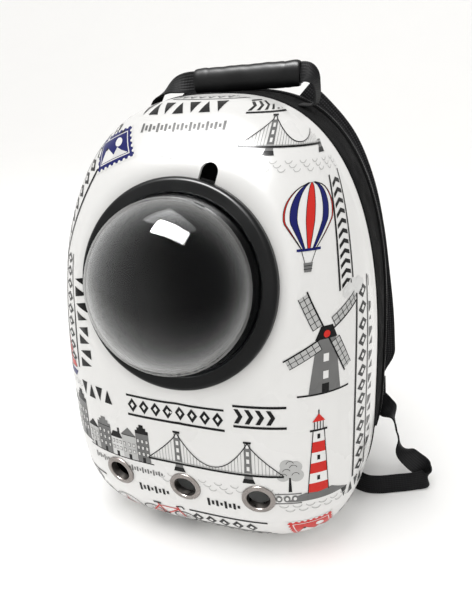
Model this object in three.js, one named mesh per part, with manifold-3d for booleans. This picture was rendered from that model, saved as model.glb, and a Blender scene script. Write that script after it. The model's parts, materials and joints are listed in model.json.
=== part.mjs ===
// Bubble pet carrier backpack: a moulded front shell with a clear dome window that turns in its seat,
// three air eyelets, a cloth gusset with a zip, a flat back panel, two padded straps and a top handle.
// Millimetres and degrees. X is to the right seen from the front, -Y is the front, +Z is up.
// The origin is on the flat base, under the middle of the shell.

import * as THREE from "three";
import { mergeVertices } from "three/addons/utils/BufferGeometryUtils.js";
import Module from "manifold-3d";

const wasm = await Module();
wasm.setup();

const GAP = 0.3; // between pieces that touch

// Front shell: a superellipse seen from the front, wider low down, cut flat at the base
const SHELL_HEIGHT = 420;
const SHELL_WIDTH = 307;
const WIDEST_HEIGHT = 141;
const BASE_CUT = 8; // how far below the base the uncut outline would reach
const TOP_SQUARENESS = 2.71;
const BOTTOM_SQUARENESS = 3.67;
const SHELL_DEPTH = 131;
const SIDE_FULLNESS = 3.05;
const TOP_FULLNESS = 1.38;
const BOTTOM_FULLNESS = 3.4;
const CROWN_FULLNESS = 3.16;
const SHELL_WALL = 3;
const RIM_Y = 50; // the shell's open rim lies in this plane

// Cloth parts behind the rim
const PIPING_DIAMETER = 5;
const PIPING_INSET = 1.5;
const GUSSET_DEPTH = 64;
const GUSSET_INSET = 1.5;
const GUSSET_WALL = 2;
const PANEL_THICKNESS = 10;
const PANEL_INSET = 1;
const PANEL_ROUND = 3;
const PAD_WIDTH = 190;
const PAD_HEIGHT = 280;
const PAD_THICKNESS = 7;
const PAD_CORNER = 30;
const PAD_CENTRE_HEIGHT = 200;

// Zip along the gusset
const ZIP_WIDTH = 7;
const ZIP_THICKNESS = 1.4;
const ZIP_SETBACK = 4.5; // from the gusset's rear edge
const ZIP_END_HEIGHT = 55;
const SLIDER_LENGTH = 14;
const SLIDER_HEIGHT = 3.4;
const SLIDER_SPACING = 26;
const SLIDER_LEVEL = 235;
const PULL_LENGTH = 24;
const PULL_WIDTH = 6;
const PULL_THICKNESS = 2;

// Window: a ring and a clear dome that turn in a flat seat on the shell
const WINDOW_HEIGHT = 275; // where its axis meets the crown of the shell
const WINDOW_TILT = 13.8; // degrees upwards
const SEAT_SINK = 4.1;
const SEAT_RADIUS = 93;
const SEAT_BLEND = 116;
const SEAT_HOLE_RADIUS = 86.5;
const RING_RADIUS = 90;
const RING_HEIGHT = 9.5;
const RING_SOFTNESS = 4;
const SLEEVE_WALL = 5;
const SLEEVE_LENGTH = 11;
const DOME_RADIUS = 76.5;
const DOME_WALL = 2;
const DOME_HEIGHT = 61.5; // above the seat plane
const DOME_FULLNESS = 2.7; // 2 is a plain ellipse
const DOME_SKIRT = 8; // below the seat plane
const COLLAR_RADIUS = 91.5;
const COLLAR_THICKNESS = 3.6;
const TURNING_CLEARANCE = 0.6;
const LUG_COUNT = 3;
const LUG_SPAN = 20; // degrees
const LUG_REACH = 4;
const LUG_THICKNESS = 2.4;
const UNLOCK_TURN = 30; // degrees from locked to free
const NOTCH_ANGLE = 75; // degrees from +X about the window's axis
const NOTCH_WIDTH = 15.5;
const NOTCH_REACH = 105.5;

// Eyelets: crimped metal rings round the air holes
const EYELET_SPACING = 71;
const EYELET_HEIGHT = 80.5;
const EYELET_RADIUS = 15.5;
const EYELET_BORE_RADIUS = 10.75;
const EYELET_BARREL_WALL = 1.2;
const EYELET_FLANGE = 1.9;
const EYELET_LIP_REACH = 2.2;
const EYELET_LIP_DEPTH = 5.4;
const EYELET_LIP_THICKNESS = 1;

// Webbing, handle and shoulder straps
const WEBBING_THICKNESS = 1.8;
const HANDLE_WEBBING_WIDTH = 19;
const HANDLE_FOOT_X = 79;
const GRIP_RISE = 13.2; // its centre above the top of the gusset at the middle
const GRIP_TILT = 2.5; // degrees, higher to the right
const GRIP_LENGTH = 104;
const GRIP_HEIGHT = 24;
const GRIP_THICKNESS = 13;
const GRIP_SHIFT = 18;
const STRAP_WIDTH = 58;
const STRAP_THICKNESS = 10;
const STRAP_CHAMFER = 2.2;
const STRAP_TAPER_START = 0.88; // share of its length
const STRAP_END_SHARE = 0.55; // of its width
const LOCK_WIDTH = 34;
const LOCK_HEIGHT = 20;
const LOCK_THICKNESS = 5;
const LOCK_BAR = 4.5;
const STRAP_WEBBING_WIDTH = 23;
const ANCHOR_HEIGHT = 13;

// Mesh steps
const RIM_STEPS = 64;
const SHELL_STEPS = 8;
const ROUND_STEPS = 40;
const DOME_STEPS = 7;
const EYELET_STEPS = 16;
const PIPING_SIDES = 5;
const STRAP_STEPS = 20;
const WEBBING_STEPS = 44;

const PIPING_CENTRE_Y = RIM_Y + GAP + PIPING_DIAMETER / 2;
const GUSSET_FRONT_Y = PIPING_CENTRE_Y + PIPING_DIAMETER / 2 + GAP;
const GUSSET_BACK_Y = GUSSET_FRONT_Y + GUSSET_DEPTH;
const PANEL_FRONT_Y = GUSSET_BACK_Y + GAP;
const PANEL_BACK_Y = PANEL_FRONT_Y + PANEL_THICKNESS;
const PAD_BACK_Y = PANEL_BACK_Y + GAP + PAD_THICKNESS;

const radians = (degrees) => (degrees * Math.PI) / 180;
const vector = (x, y, z) => new THREE.Vector3(x, y, z);
const clamp = (value) => Math.min(1, Math.max(0, value));
const smooth = (share) => share * share * (3 - 2 * share);

const WINDOW_AXIS = vector(0, -Math.cos(radians(WINDOW_TILT)), Math.sin(radians(WINDOW_TILT)));
const WINDOW_RIGHT = vector(1, 0, 0);
const WINDOW_UP = vector(0, Math.sin(radians(WINDOW_TILT)), Math.cos(radians(WINDOW_TILT)));

// Mesh helpers

// Turns a mesh's faces outwards, whatever side they were wound to.
function outward(geometry) {
  const place = geometry.getAttribute("position");
  const index = geometry.getIndex();
  const corner = (at) => new THREE.Vector3().fromBufferAttribute(place, index.getX(at));
  let volume = 0;
  for (let at = 0; at < index.count; at += 3) {
    volume += corner(at).dot(corner(at + 1).cross(corner(at + 2)));
  }
  if (volume < 0) {
    for (let at = 0; at < index.count; at += 3) {
      const first = index.getX(at);
      index.setX(at, index.getX(at + 1));
      index.setX(at + 1, first);
    }
  }
  return geometry;
}

// Joins rows of points into one closed solid. A ring of rows closes on itself; an open row of them is capped.
function loft(rows, isRing = false) {
  const columns = rows[0].length;
  const index = [];
  const at = (row, column) => (row % rows.length) * columns + (column % columns);
  const last = isRing ? rows.length : rows.length - 1;
  for (let row = 0; row < last; row += 1) {
    for (let column = 0; column < columns; column += 1) {
      index.push(at(row, column), at(row + 1, column), at(row + 1, column + 1));
      index.push(at(row, column), at(row + 1, column + 1), at(row, column + 1));
    }
  }
  if (!isRing) {
    for (let column = 1; column < columns - 1; column += 1) {
      index.push(at(0, 0), at(0, column), at(0, column + 1));
      index.push(at(last, 0), at(last, column + 1), at(last, column));
    }
  }
  const geometry = new THREE.BufferGeometry().setFromPoints(rows.flat());
  geometry.setIndex(index);
  return outward(geometry);
}

function merged(geometry) {
  const bare = geometry.clone();
  bare.deleteAttribute("normal");
  bare.deleteAttribute("uv");
  return mergeVertices(bare, 1e-4);
}

function toSolid(geometry) {
  const mesh = merged(geometry);
  const vertProperties = new Float32Array(mesh.getAttribute("position").array);
  const triVerts = new Uint32Array(mesh.getIndex().array);
  return new wasm.Manifold(new wasm.Mesh({ numProp: 3, vertProperties, triVerts }));
}

function toGeometry(solid) {
  const mesh = solid.getMesh();
  const geometry = new THREE.BufferGeometry();
  geometry.setAttribute("position", new THREE.BufferAttribute(new Float32Array(mesh.vertProperties), 3));
  geometry.setIndex(new THREE.BufferAttribute(new Uint32Array(mesh.triVerts), 1));
  return geometry;
}

const cut = (geometry, tools) =>
  toGeometry(tools.reduce((solid, tool) => solid.subtract(toSolid(tool)), toSolid(geometry)));
const join = (geometry, extras) =>
  toGeometry(extras.reduce((solid, extra) => solid.add(toSolid(extra)), toSolid(geometry)));

// A solid of revolution about +Z from a closed profile of [radius, height] pairs.
function turned(profile, steps = ROUND_STEPS) {
  const points = profile.map(([radius, height]) => new THREE.Vector2(radius, height));
  const lathe = new THREE.LatheGeometry([...points, points[0].clone()], steps);
  lathe.rotateX(Math.PI / 2);
  return outward(merged(lathe));
}

// A flat ribbon or a padded strap along a curve: stations give a centre and the direction of its width.
function ribbon(stations, width, thickness, taper = () => 1, chamfer = 0) {
  const rows = stations.map(({ centre, across }, at) => {
    const before = stations[Math.max(0, at - 1)].centre;
    const after = stations[Math.min(stations.length - 1, at + 1)].centre;
    const along = after.clone().sub(before).normalize();
    const side = across.clone().addScaledVector(along, -across.dot(along)).normalize();
    const face = along.clone().cross(side);
    const share = at / (stations.length - 1);
    const half = (width / 2) * taper(share);
    const high = thickness / 2;
    const outline = chamfer
      ? [
          [half, high - chamfer],
          [half - chamfer * 2, high],
          [-half + chamfer * 2, high],
          [-half, high - chamfer],
          [-half, -high + chamfer],
          [-half + chamfer * 2, -high],
          [half - chamfer * 2, -high],
          [half, -high + chamfer],
        ]
      : [
          [half, high],
          [-half, high],
          [-half, -high],
          [half, -high],
        ];
    return outline.map(([u, v]) => centre.clone().addScaledVector(side, u).addScaledVector(face, v));
  });
  return loft(rows);
}

// Stations along a smooth curve through route points, with the width direction blended between them.
function stationsAlong(route, steps) {
  const curve = new THREE.CatmullRomCurve3(route.map(({ centre }) => centre), false, "centripetal");
  const stations = [];
  for (let step = 0; step <= steps; step += 1) {
    const share = step / steps;
    const place = share * (route.length - 1);
    const leg = Math.min(route.length - 2, Math.floor(place));
    const across = route[leg].across.clone().lerp(route[leg + 1].across, place - leg).normalize();
    stations.push({ centre: curve.getPoint(share), across });
  }
  return stations;
}

// Shell shape

function outlinePoint(angle, inset, floor = -Infinity) {
  const c = Math.cos(angle);
  const s = Math.sin(angle);
  const power = s >= 0 ? TOP_SQUARENESS : BOTTOM_SQUARENESS;
  const reach = s >= 0 ? SHELL_HEIGHT - WIDEST_HEIGHT : WIDEST_HEIGHT + BASE_CUT;
  const radius = (Math.abs(c) ** power + Math.abs(s) ** power) ** (-1 / power);
  const z = WIDEST_HEIGHT + (reach - inset) * radius * s;
  return { x: (SHELL_WIDTH / 2 - inset) * radius * c, z: Math.max(z, floor) };
}

// Angles that share the outline out into stretches of equal length, starting at the bottom.
function outlineAngles(count) {
  const fine = 1440;
  const start = -Math.PI / 2;
  const angles = Array.from({ length: fine + 1 }, (_, at) => start + (at * 2 * Math.PI) / fine);
  const lengths = [0];
  for (let at = 1; at <= fine; at += 1) {
    const a = outlinePoint(angles[at - 1], 0);
    const b = outlinePoint(angles[at], 0);
    lengths.push(lengths[at - 1] + Math.hypot(b.x - a.x, b.z - a.z));
  }
  const found = [];
  let at = 0;
  for (let step = 0; step < count; step += 1) {
    const goal = (lengths[fine] * step) / count;
    while (lengths[at + 1] < goal) at += 1;
    const share = (goal - lengths[at]) / (lengths[at + 1] - lengths[at]);
    found.push(angles[at] + share * (angles[at + 1] - angles[at]));
  }
  return found;
}

const RIM_ANGLES = outlineAngles(RIM_STEPS);

function shellDepth(x, z, inset) {
  const above = z >= WIDEST_HEIGHT;
  const power = above ? TOP_SQUARENESS : BOTTOM_SQUARENESS;
  const reach = above ? SHELL_HEIGHT - WIDEST_HEIGHT : WIDEST_HEIGHT + BASE_CUT;
  const across = Math.abs(x) / (SHELL_WIDTH / 2 - inset);
  const up = Math.abs(z - WIDEST_HEIGHT) / (reach - inset);
  const share = Math.min(1, (across ** power + up ** power) ** (1 / power));
  const upright = up ** 2 / (across ** 2 + up ** 2 + 1e-9);
  const endFullness = above ? TOP_FULLNESS : BOTTOM_FULLNESS;
  const fullness = SIDE_FULLNESS + (endFullness - SIDE_FULLNESS) * upright;
  return (SHELL_DEPTH - inset) * (1 - share ** fullness) ** (1 / CROWN_FULLNESS);
}

const WINDOW_CENTRE = vector(0, RIM_Y - shellDepth(0, WINDOW_HEIGHT, 0), WINDOW_HEIGHT).addScaledVector(
  WINDOW_AXIS,
  -SEAT_SINK,
);

// A point on the shell's skin, or on its inside when inset is the wall: the round form with its flat seat.
function shellPoint(x, z, inset) {
  const point = vector(x, RIM_Y - shellDepth(x, z, inset), z);
  const offset = point.clone().sub(WINDOW_CENTRE).addScaledVector(WINDOW_AXIS, inset);
  const height = offset.dot(WINDOW_AXIS);
  const radius = Math.sqrt(Math.max(0, offset.lengthSq() - height ** 2));
  const keep = smooth(clamp((radius - SEAT_RADIUS) / (SEAT_BLEND - SEAT_RADIUS)));
  point.addScaledVector(WINDOW_AXIS, -height * (1 - keep));
  point.z = Math.max(point.z, inset);
  return point;
}

function shellNormal(x, z) {
  const step = 1;
  const across = shellPoint(x + step, z, 0).sub(shellPoint(x - step, z, 0));
  const up = shellPoint(x, z + step, 0).sub(shellPoint(x, z - step, 0));
  return across.cross(up).normalize();
}

// A point in the window's own frame, carried to the part's frame.
const fromWindow = (right, up, out) =>
  WINDOW_CENTRE.clone()
    .addScaledVector(WINDOW_RIGHT, right)
    .addScaledVector(WINDOW_UP, up)
    .addScaledVector(WINDOW_AXIS, out);

// How far along its line a step lies, closer together towards the rim.
const rimwards = (step) => 1 - (1 - step / SHELL_STEPS) ** 2.2;

// The step before the last but one falls where the line meets the flat base, if it does.
function baseShare(edge, rim, floor) {
  const usual = rimwards(SHELL_STEPS - 2);
  const meets = (edge - floor) / (edge - rim);
  const between = meets > rimwards(SHELL_STEPS - 3) + 0.01 && meets < rimwards(SHELL_STEPS - 1) - 0.002;
  return between ? meets : usual;
}

// One skin's points along a line from the window's hole out to the rim.
function shellLine(angle, inset) {
  const rim = outlinePoint(angle, inset);
  const turn = Math.atan2((rim.z - WINDOW_CENTRE.z) / Math.cos(radians(WINDOW_TILT)), rim.x);
  const onSeat = (radius) => fromWindow(radius * Math.cos(turn), radius * Math.sin(turn), -inset);
  const edge = onSeat(SEAT_RADIUS);
  const line = [onSeat(SEAT_HOLE_RADIUS), edge];
  for (let step = 1; step <= SHELL_STEPS; step += 1) {
    const share = step === SHELL_STEPS - 2 ? baseShare(edge.z, rim.z, inset) : rimwards(step);
    line.push(shellPoint(edge.x + (rim.x - edge.x) * share, edge.z + (rim.z - edge.z) * share, inset));
  }
  return line;
}

const eyeletPlaces = ["left", "middle", "right"].map((side, at) => {
  const x = (at - 1) * EYELET_SPACING;
  const normal = shellNormal(x, EYELET_HEIGHT);
  const centre = shellPoint(x, EYELET_HEIGHT, 0);
  const turn = new THREE.Quaternion().setFromUnitVectors(vector(0, 0, 1), normal);
  return { side, centre, turn };
});

const EYELET_HOLE_RADIUS = EYELET_BORE_RADIUS + EYELET_BARREL_WALL + GAP;

function eyeletHole({ centre, turn }) {
  const length = SHELL_WALL * 8;
  const hole = new THREE.CylinderGeometry(EYELET_HOLE_RADIUS, EYELET_HOLE_RADIUS, length, EYELET_STEPS);
  hole.rotateX(Math.PI / 2);
  hole.applyQuaternion(turn);
  hole.translate(centre.x, centre.y, centre.z);
  return hole;
}

// The round-topped finger notch that runs out from under the window ring.
function windowNotch() {
  const half = NOTCH_WIDTH / 2;
  const shape = new THREE.Shape();
  shape.moveTo(SEAT_HOLE_RADIUS - half, -half);
  shape.lineTo(NOTCH_REACH - half, -half);
  shape.absarc(NOTCH_REACH - half, 0, half, -Math.PI / 2, Math.PI / 2);
  shape.lineTo(SEAT_HOLE_RADIUS - half, half);
  const depth = SEAT_SINK * 4;
  const notch = new THREE.ExtrudeGeometry(shape, { depth, bevelEnabled: false, curveSegments: 10 });
  notch.translate(0, 0, -depth / 2);
  notch.rotateZ(radians(NOTCH_ANGLE));
  notch.applyMatrix4(new THREE.Matrix4().makeBasis(WINDOW_RIGHT, WINDOW_UP, WINDOW_AXIS));
  notch.translate(WINDOW_CENTRE.x, WINDOW_CENTRE.y, WINDOW_CENTRE.z);
  return notch;
}

function frontShell() {
  const rows = RIM_ANGLES.map((angle) => [...shellLine(angle, 0), ...shellLine(angle, SHELL_WALL).reverse()]);
  return cut(loft(rows, true), [windowNotch(), ...eyeletPlaces.map(eyeletHole)]);
}

// Cloth pieces that follow the shell's outline

// Points round the outline in the plane of a given Y.
const outlineAt = (angle, y, inset, floor) => {
  const { x, z } = outlinePoint(angle, inset, floor);
  return vector(x, y, z);
};

function rimPiping() {
  const radius = PIPING_DIAMETER / 2;
  const rows = RIM_ANGLES.map((angle) =>
    Array.from({ length: PIPING_SIDES }, (_, at) => {
      const turn = (at * 2 * Math.PI) / PIPING_SIDES;
      const y = PIPING_CENTRE_Y + radius * Math.sin(turn);
      const inset = PIPING_INSET - radius * Math.cos(turn);
      return outlineAt(angle, y, inset, inset - PIPING_INSET + radius);
    }),
  );
  return loft(rows, true);
}

function gusset() {
  const inner = GUSSET_INSET + GUSSET_WALL;
  const rows = RIM_ANGLES.map((angle) => [
    outlineAt(angle, GUSSET_FRONT_Y, GUSSET_INSET, 0),
    outlineAt(angle, GUSSET_BACK_Y, GUSSET_INSET, 0),
    outlineAt(angle, GUSSET_BACK_Y, inner, GUSSET_WALL),
    outlineAt(angle, GUSSET_FRONT_Y, inner, GUSSET_WALL),
  ]);
  return loft(rows, true);
}

const ZIP_CENTRE_Y = GUSSET_BACK_Y - ZIP_SETBACK - ZIP_WIDTH / 2;
const ZIP_ANGLES = RIM_ANGLES.filter((angle) => outlinePoint(angle, 0).z > ZIP_END_HEIGHT);

function zipperChain() {
  const low = GUSSET_INSET - GAP;
  const high = low - ZIP_THICKNESS;
  const front = ZIP_CENTRE_Y - ZIP_WIDTH / 2;
  const back = ZIP_CENTRE_Y + ZIP_WIDTH / 2;
  const rows = ZIP_ANGLES.map((angle) => [
    outlineAt(angle, front, low),
    outlineAt(angle, back, low),
    outlineAt(angle, back, high),
    outlineAt(angle, front, high),
  ]);
  return loft(rows);
}

// The outline's angle on the left side at a given height.
function leftAngleAt(height) {
  let low = Math.PI / 2;
  let high = Math.PI * 1.5;
  for (let step = 0; step < 40; step += 1) {
    const middle = (low + high) / 2;
    if (outlinePoint(middle, 0).z > height) low = middle;
    else high = middle;
  }
  return low;
}

// A zip slider and its pull tab, standing on the chain at the carrier's left side.
function zipperSlider(height, way) {
  const angle = leftAngleAt(height);
  const inset = GUSSET_INSET - GAP - ZIP_THICKNESS - GAP;
  const centre = outlineAt(angle, ZIP_CENTRE_Y, inset);
  const nearby = outlineAt(leftAngleAt(height + 1), ZIP_CENTRE_Y, inset);
  const along = nearby.sub(centre).normalize();
  const out = vector(0, 1, 0).cross(along).normalize();
  if (out.x > 0) out.negate();
  const block = (length, width, low, high, shift) => {
    const box = new THREE.BoxGeometry(length, width, high - low);
    box.translate(shift, 0, (low + high) / 2);
    box.applyMatrix4(new THREE.Matrix4().makeBasis(along, out.clone().cross(along), out));
    box.translate(centre.x, centre.y, centre.z);
    return box;
  };
  const lift = GAP; // clear of the chain's curve
  const body = block(SLIDER_LENGTH, ZIP_WIDTH + 2, lift, lift + SLIDER_HEIGHT, 0);
  const pullShift = (-way * (SLIDER_LENGTH + PULL_LENGTH)) / 2 + way * 4;
  const top = lift + SLIDER_HEIGHT;
  const pull = block(PULL_LENGTH, PULL_WIDTH, top - PULL_THICKNESS, top, pullShift);
  return join(body, [pull]);
}

// The back panel: a flat board in cloth with softened edges.
function backPanel() {
  const profile = [
    [PANEL_FRONT_Y, 0],
    [PANEL_BACK_Y - PANEL_ROUND, 0],
    [PANEL_BACK_Y - PANEL_ROUND * 0.3, PANEL_ROUND * 0.3],
    [PANEL_BACK_Y, PANEL_ROUND],
  ];
  const rows = profile.map(([y, inset]) =>
    RIM_ANGLES.map((angle) => outlineAt(angle, y, PANEL_INSET + inset, inset)),
  );
  return loft(rows);
}

function roundedRectangle(width, height, corner) {
  const shape = new THREE.Shape();
  const x = width / 2 - corner;
  const y = height / 2 - corner;
  shape.absarc(x, y, corner, 0, Math.PI / 2);
  shape.absarc(-x, y, corner, Math.PI / 2, Math.PI);
  shape.absarc(-x, -y, corner, Math.PI, Math.PI * 1.5);
  shape.absarc(x, -y, corner, Math.PI * 1.5, Math.PI * 2);
  return shape;
}

function backPad() {
  const shape = roundedRectangle(PAD_WIDTH, PAD_HEIGHT, PAD_CORNER);
  const settings = { depth: PAD_THICKNESS, bevelEnabled: false, curveSegments: 6 };
  const pad = new THREE.ExtrudeGeometry(shape, settings);
  pad.rotateX(Math.PI / 2);
  pad.translate(0, PAD_BACK_Y, PAD_CENTRE_HEIGHT);
  return merged(pad);
}

// Window pieces, in the window's own frame: +Z is its axis and Z = 0 the seat

const RING_BORE = DOME_RADIUS + GAP;
const SLEEVE_RADIUS = RING_BORE + SLEEVE_WALL;
const COLLAR_TOP = -SHELL_WALL - GAP;
const COLLAR_BOTTOM = COLLAR_TOP - COLLAR_THICKNESS;

// A solid sector of a ring, for the lugs and for the ways that they pass through.
function ringSector(inner, outer, low, high, start, span) {
  const shape = new THREE.Shape();
  shape.absarc(0, 0, outer, start, start + span);
  shape.absarc(0, 0, inner, start + span, start, true);
  const settings = { depth: high - low, bevelEnabled: false, curveSegments: 4 };
  const sector = new THREE.ExtrudeGeometry(shape, settings);
  sector.translate(0, 0, low);
  return sector;
}

function lugSectors(inner, outer, low, high, turn, extra) {
  const span = radians(LUG_SPAN) + extra * 2;
  return Array.from({ length: LUG_COUNT }, (_, at) => {
    const middle = (at * 2 * Math.PI) / LUG_COUNT + radians(turn);
    return ringSector(inner, outer, low, high, middle - span / 2, span);
  });
}

function windowRing() {
  const soft = RING_SOFTNESS;
  const outerArc = [0, 30, 60, 90].map((turn) => [
    RING_RADIUS - soft + soft * Math.cos(radians(turn)),
    RING_HEIGHT - soft + soft * Math.sin(radians(turn)),
  ]);
  const profile = [
    [SLEEVE_RADIUS, GAP],
    [RING_RADIUS - 1, GAP],
    [RING_RADIUS, GAP + 1],
    ...outerArc,
    [RING_BORE + 2.5, RING_HEIGHT],
    [RING_BORE, RING_HEIGHT - 2.5],
    [RING_BORE, -SLEEVE_LENGTH],
    [SLEEVE_RADIUS, -SLEEVE_LENGTH],
  ];
  const lugTop = COLLAR_BOTTOM - GAP;
  const lugBottom = lugTop - LUG_THICKNESS;
  const inner = SLEEVE_RADIUS - SLEEVE_WALL / 2;
  const lugs = lugSectors(inner, SLEEVE_RADIUS + LUG_REACH, lugBottom, lugTop, 0, 0);
  return join(turned(profile), lugs);
}

// The dome's profile from its crown to its skirt: a full round form that ends in a straight wall.
function domeProfile(inset) {
  const round = Array.from({ length: DOME_STEPS + 1 }, (_, at) => {
    const turn = (Math.PI / 2) * (at / DOME_STEPS);
    const radius = (DOME_RADIUS - inset) * Math.sin(turn) ** (2 / DOME_FULLNESS);
    const height = (DOME_HEIGHT - inset) * Math.cos(turn) ** (2 / DOME_FULLNESS);
    return [radius, height];
  });
  round[0][0] = 0;
  return [...round.slice(0, -1), [DOME_RADIUS - inset, 0], [DOME_RADIUS - inset, -DOME_SKIRT]];
}

function windowDome() {
  const points = [...domeProfile(0), ...domeProfile(DOME_WALL).reverse()].map(
    ([radius, height]) => new THREE.Vector2(radius, height),
  );
  const lathe = new THREE.LatheGeometry(points, ROUND_STEPS);
  lathe.rotateX(Math.PI / 2);
  return outward(merged(lathe));
}

// The hidden collar behind the seat. Its ways let the lugs through once the window is turned.
function windowCollar() {
  const bore = SLEEVE_RADIUS + TURNING_CLEARANCE;
  const profile = [
    [bore, COLLAR_BOTTOM],
    [COLLAR_RADIUS, COLLAR_BOTTOM],
    [COLLAR_RADIUS, COLLAR_TOP],
    [bore, COLLAR_TOP],
  ];
  const wayRadius = SLEEVE_RADIUS + LUG_REACH + TURNING_CLEARANCE;
  const play = TURNING_CLEARANCE / SLEEVE_RADIUS;
  const ways = lugSectors(bore - 2, wayRadius, COLLAR_BOTTOM - 1, COLLAR_TOP + 1, UNLOCK_TURN, play);
  return cut(turned(profile), ways);
}

// How far the skin falls away from the tangent plane at a radius round an eyelet, where it falls least.
function seatDrop({ centre, turn }, radius) {
  const out = vector(0, 0, 1).applyQuaternion(turn);
  const drops = Array.from({ length: 16 }, (_, at) => {
    const spoke = (at * Math.PI) / 8;
    const aim = vector(radius * Math.cos(spoke), radius * Math.sin(spoke), 0).applyQuaternion(turn);
    return shellPoint(centre.x + aim.x, centre.z + aim.z, 0).sub(centre).dot(out);
  });
  return Math.max(...drops);
}

function eyelet() {
  const barrel = EYELET_BORE_RADIUS + EYELET_BARREL_WALL;
  const lip = barrel + EYELET_LIP_REACH;
  const profile = [
    [barrel, 0],
    [EYELET_RADIUS, 0],
    [EYELET_RADIUS, EYELET_FLANGE * 0.45],
    [EYELET_RADIUS - 1.4, EYELET_FLANGE],
    [EYELET_BORE_RADIUS + 1, EYELET_FLANGE],
    [EYELET_BORE_RADIUS, EYELET_FLANGE * 0.5],
    [EYELET_BORE_RADIUS, -EYELET_LIP_DEPTH - EYELET_LIP_THICKNESS],
    [lip, -EYELET_LIP_DEPTH - EYELET_LIP_THICKNESS],
    [lip, -EYELET_LIP_DEPTH],
    [barrel, -EYELET_LIP_DEPTH],
  ];
  return turned(profile, EYELET_STEPS);
}

// Handle

const HANDLE_Y = (GUSSET_FRONT_Y + ZIP_CENTRE_Y - ZIP_WIDTH / 2) / 2;

// Height of the gusset's top at a distance from the middle.
function gussetTop(x) {
  const share = Math.abs(x) / (SHELL_WIDTH / 2 - GUSSET_INSET);
  const reach = SHELL_HEIGHT - WIDEST_HEIGHT - GUSSET_INSET;
  return WIDEST_HEIGHT + reach * (1 - share ** TOP_SQUARENESS) ** (1 / TOP_SQUARENESS);
}

// Height of the grip's centre line.
const gripLine = (x) => gussetTop(0) + GRIP_RISE + (x - GRIP_SHIFT) * Math.tan(radians(GRIP_TILT));

// Route of the handle's webbing: from a flat foot, up in a half twist, through the grip and down again.
function handleRoute() {
  const flat = vector(0, 1, 0);
  const upright = vector(0, 0.12, 1);
  const foot = (x) => gussetTop(x) + GAP + WEBBING_THICKNESS / 2;
  const x = HANDLE_FOOT_X;
  const left = GRIP_SHIFT - GRIP_LENGTH / 2;
  const right = GRIP_SHIFT + GRIP_LENGTH / 2;
  return [
    { centre: vector(-x + 9, HANDLE_Y, foot(x - 9)), across: flat },
    { centre: vector(-x - 2, HANDLE_Y, foot(x) + 3), across: flat },
    { centre: vector(-x + 2, HANDLE_Y, foot(x) + 12), across: flat },
    { centre: vector(-x + 18, HANDLE_Y, gripLine(-x) - 2), across: vector(0, 0.75, 0.6) },
    { centre: vector(left - 8, HANDLE_Y, gripLine(left - 8)), across: upright },
    { centre: vector(left + 8, HANDLE_Y, gripLine(left + 8)), across: upright },
    { centre: vector((left + right) / 2, HANDLE_Y, gripLine((left + right) / 2)), across: upright },
    { centre: vector(right - 8, HANDLE_Y, gripLine(right - 8)), across: upright },
    { centre: vector(right + 6, HANDLE_Y, gripLine(right + 6)), across: vector(0, 0.4, 0.9) },
    { centre: vector(right + 14, HANDLE_Y, gripLine(right) - 8), across: vector(0, 0.9, 0.45) },
    { centre: vector(x + 5, HANDLE_Y, foot(x) + 6), across: flat },
    { centre: vector(x - 9, HANDLE_Y, foot(x - 9)), across: flat },
  ];
}

const HANDLE_STATIONS = stationsAlong(handleRoute(), WEBBING_STEPS);

const handleWebbing = () => ribbon(HANDLE_STATIONS, HANDLE_WEBBING_WIDTH, WEBBING_THICKNESS);

// The grip: a soft sleeve round the webbing, with a slot that the webbing runs through.
function handleGrip() {
  const left = GRIP_SHIFT - GRIP_LENGTH / 2;
  const section = (x, scale) =>
    Array.from({ length: 12 }, (_, at) => {
      const turn = (at * Math.PI) / 6;
      const y = (GRIP_THICKNESS / 2) * scale * Math.cos(turn);
      const z = (GRIP_HEIGHT / 2) * scale * Math.sign(Math.sin(turn)) * Math.abs(Math.sin(turn)) ** 0.8;
      return vector(x, HANDLE_Y + y, gripLine(x) + z);
    });
  const grip = loft([
    section(left, 0.94),
    section(left + 3, 1),
    section(left + GRIP_LENGTH - 3, 1),
    section(left + GRIP_LENGTH, 0.94),
  ]);
  const near = HANDLE_STATIONS.filter(({ centre }) => Math.abs(centre.x - GRIP_SHIFT) < GRIP_LENGTH * 0.65);
  const slot = ribbon(near, HANDLE_WEBBING_WIDTH + GAP * 2, WEBBING_THICKNESS + GAP * 2);
  return cut(grip, [slot]);
}

// Route of a shoulder strap down the back: how far out as a share of the shell's half width, how far
// off the back panel in millimetres, and how high as a share of the shell's height.
const STRAP_ROUTE = [
  { out: 0.3, lift: 0.3, height: 0.955 },
  { out: 0.39, lift: 4.5, height: 0.925 },
  { out: 0.55, lift: 8.5, height: 0.855 },
  { out: 0.665, lift: 9.5, height: 0.76 },
  { out: 0.74, lift: 9.5, height: 0.65 },
  { out: 0.79, lift: 8.5, height: 0.54 },
  { out: 0.835, lift: 5.5, height: 0.43 },
  { out: 0.86, lift: 3, height: 0.33 },
  { out: 0.875, lift: 1.5, height: 0.245 },
];

const strapCentre = ({ out, lift, height }, side) =>
  vector(
    (side * out * SHELL_WIDTH) / 2,
    PANEL_BACK_Y + GAP + STRAP_THICKNESS / 2 + lift,
    height * SHELL_HEIGHT,
  );

function strapStations(side) {
  const route = STRAP_ROUTE.map((row, at) => {
    const before = strapCentre(STRAP_ROUTE[Math.max(0, at - 1)], side);
    const after = strapCentre(STRAP_ROUTE[Math.min(STRAP_ROUTE.length - 1, at + 1)], side);
    const along = after.sub(before).normalize();
    const across = along.cross(vector(0, 1, 0)).normalize();
    return { centre: strapCentre(row, side), across };
  });
  return stationsAlong(route, STRAP_STEPS);
}

// The padded strap narrows towards the ladder lock over its last stretch.
const strapTaper = (share) =>
  1 - (1 - STRAP_END_SHARE) * smooth(clamp((share - STRAP_TAPER_START) / (1 - STRAP_TAPER_START)));

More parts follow.
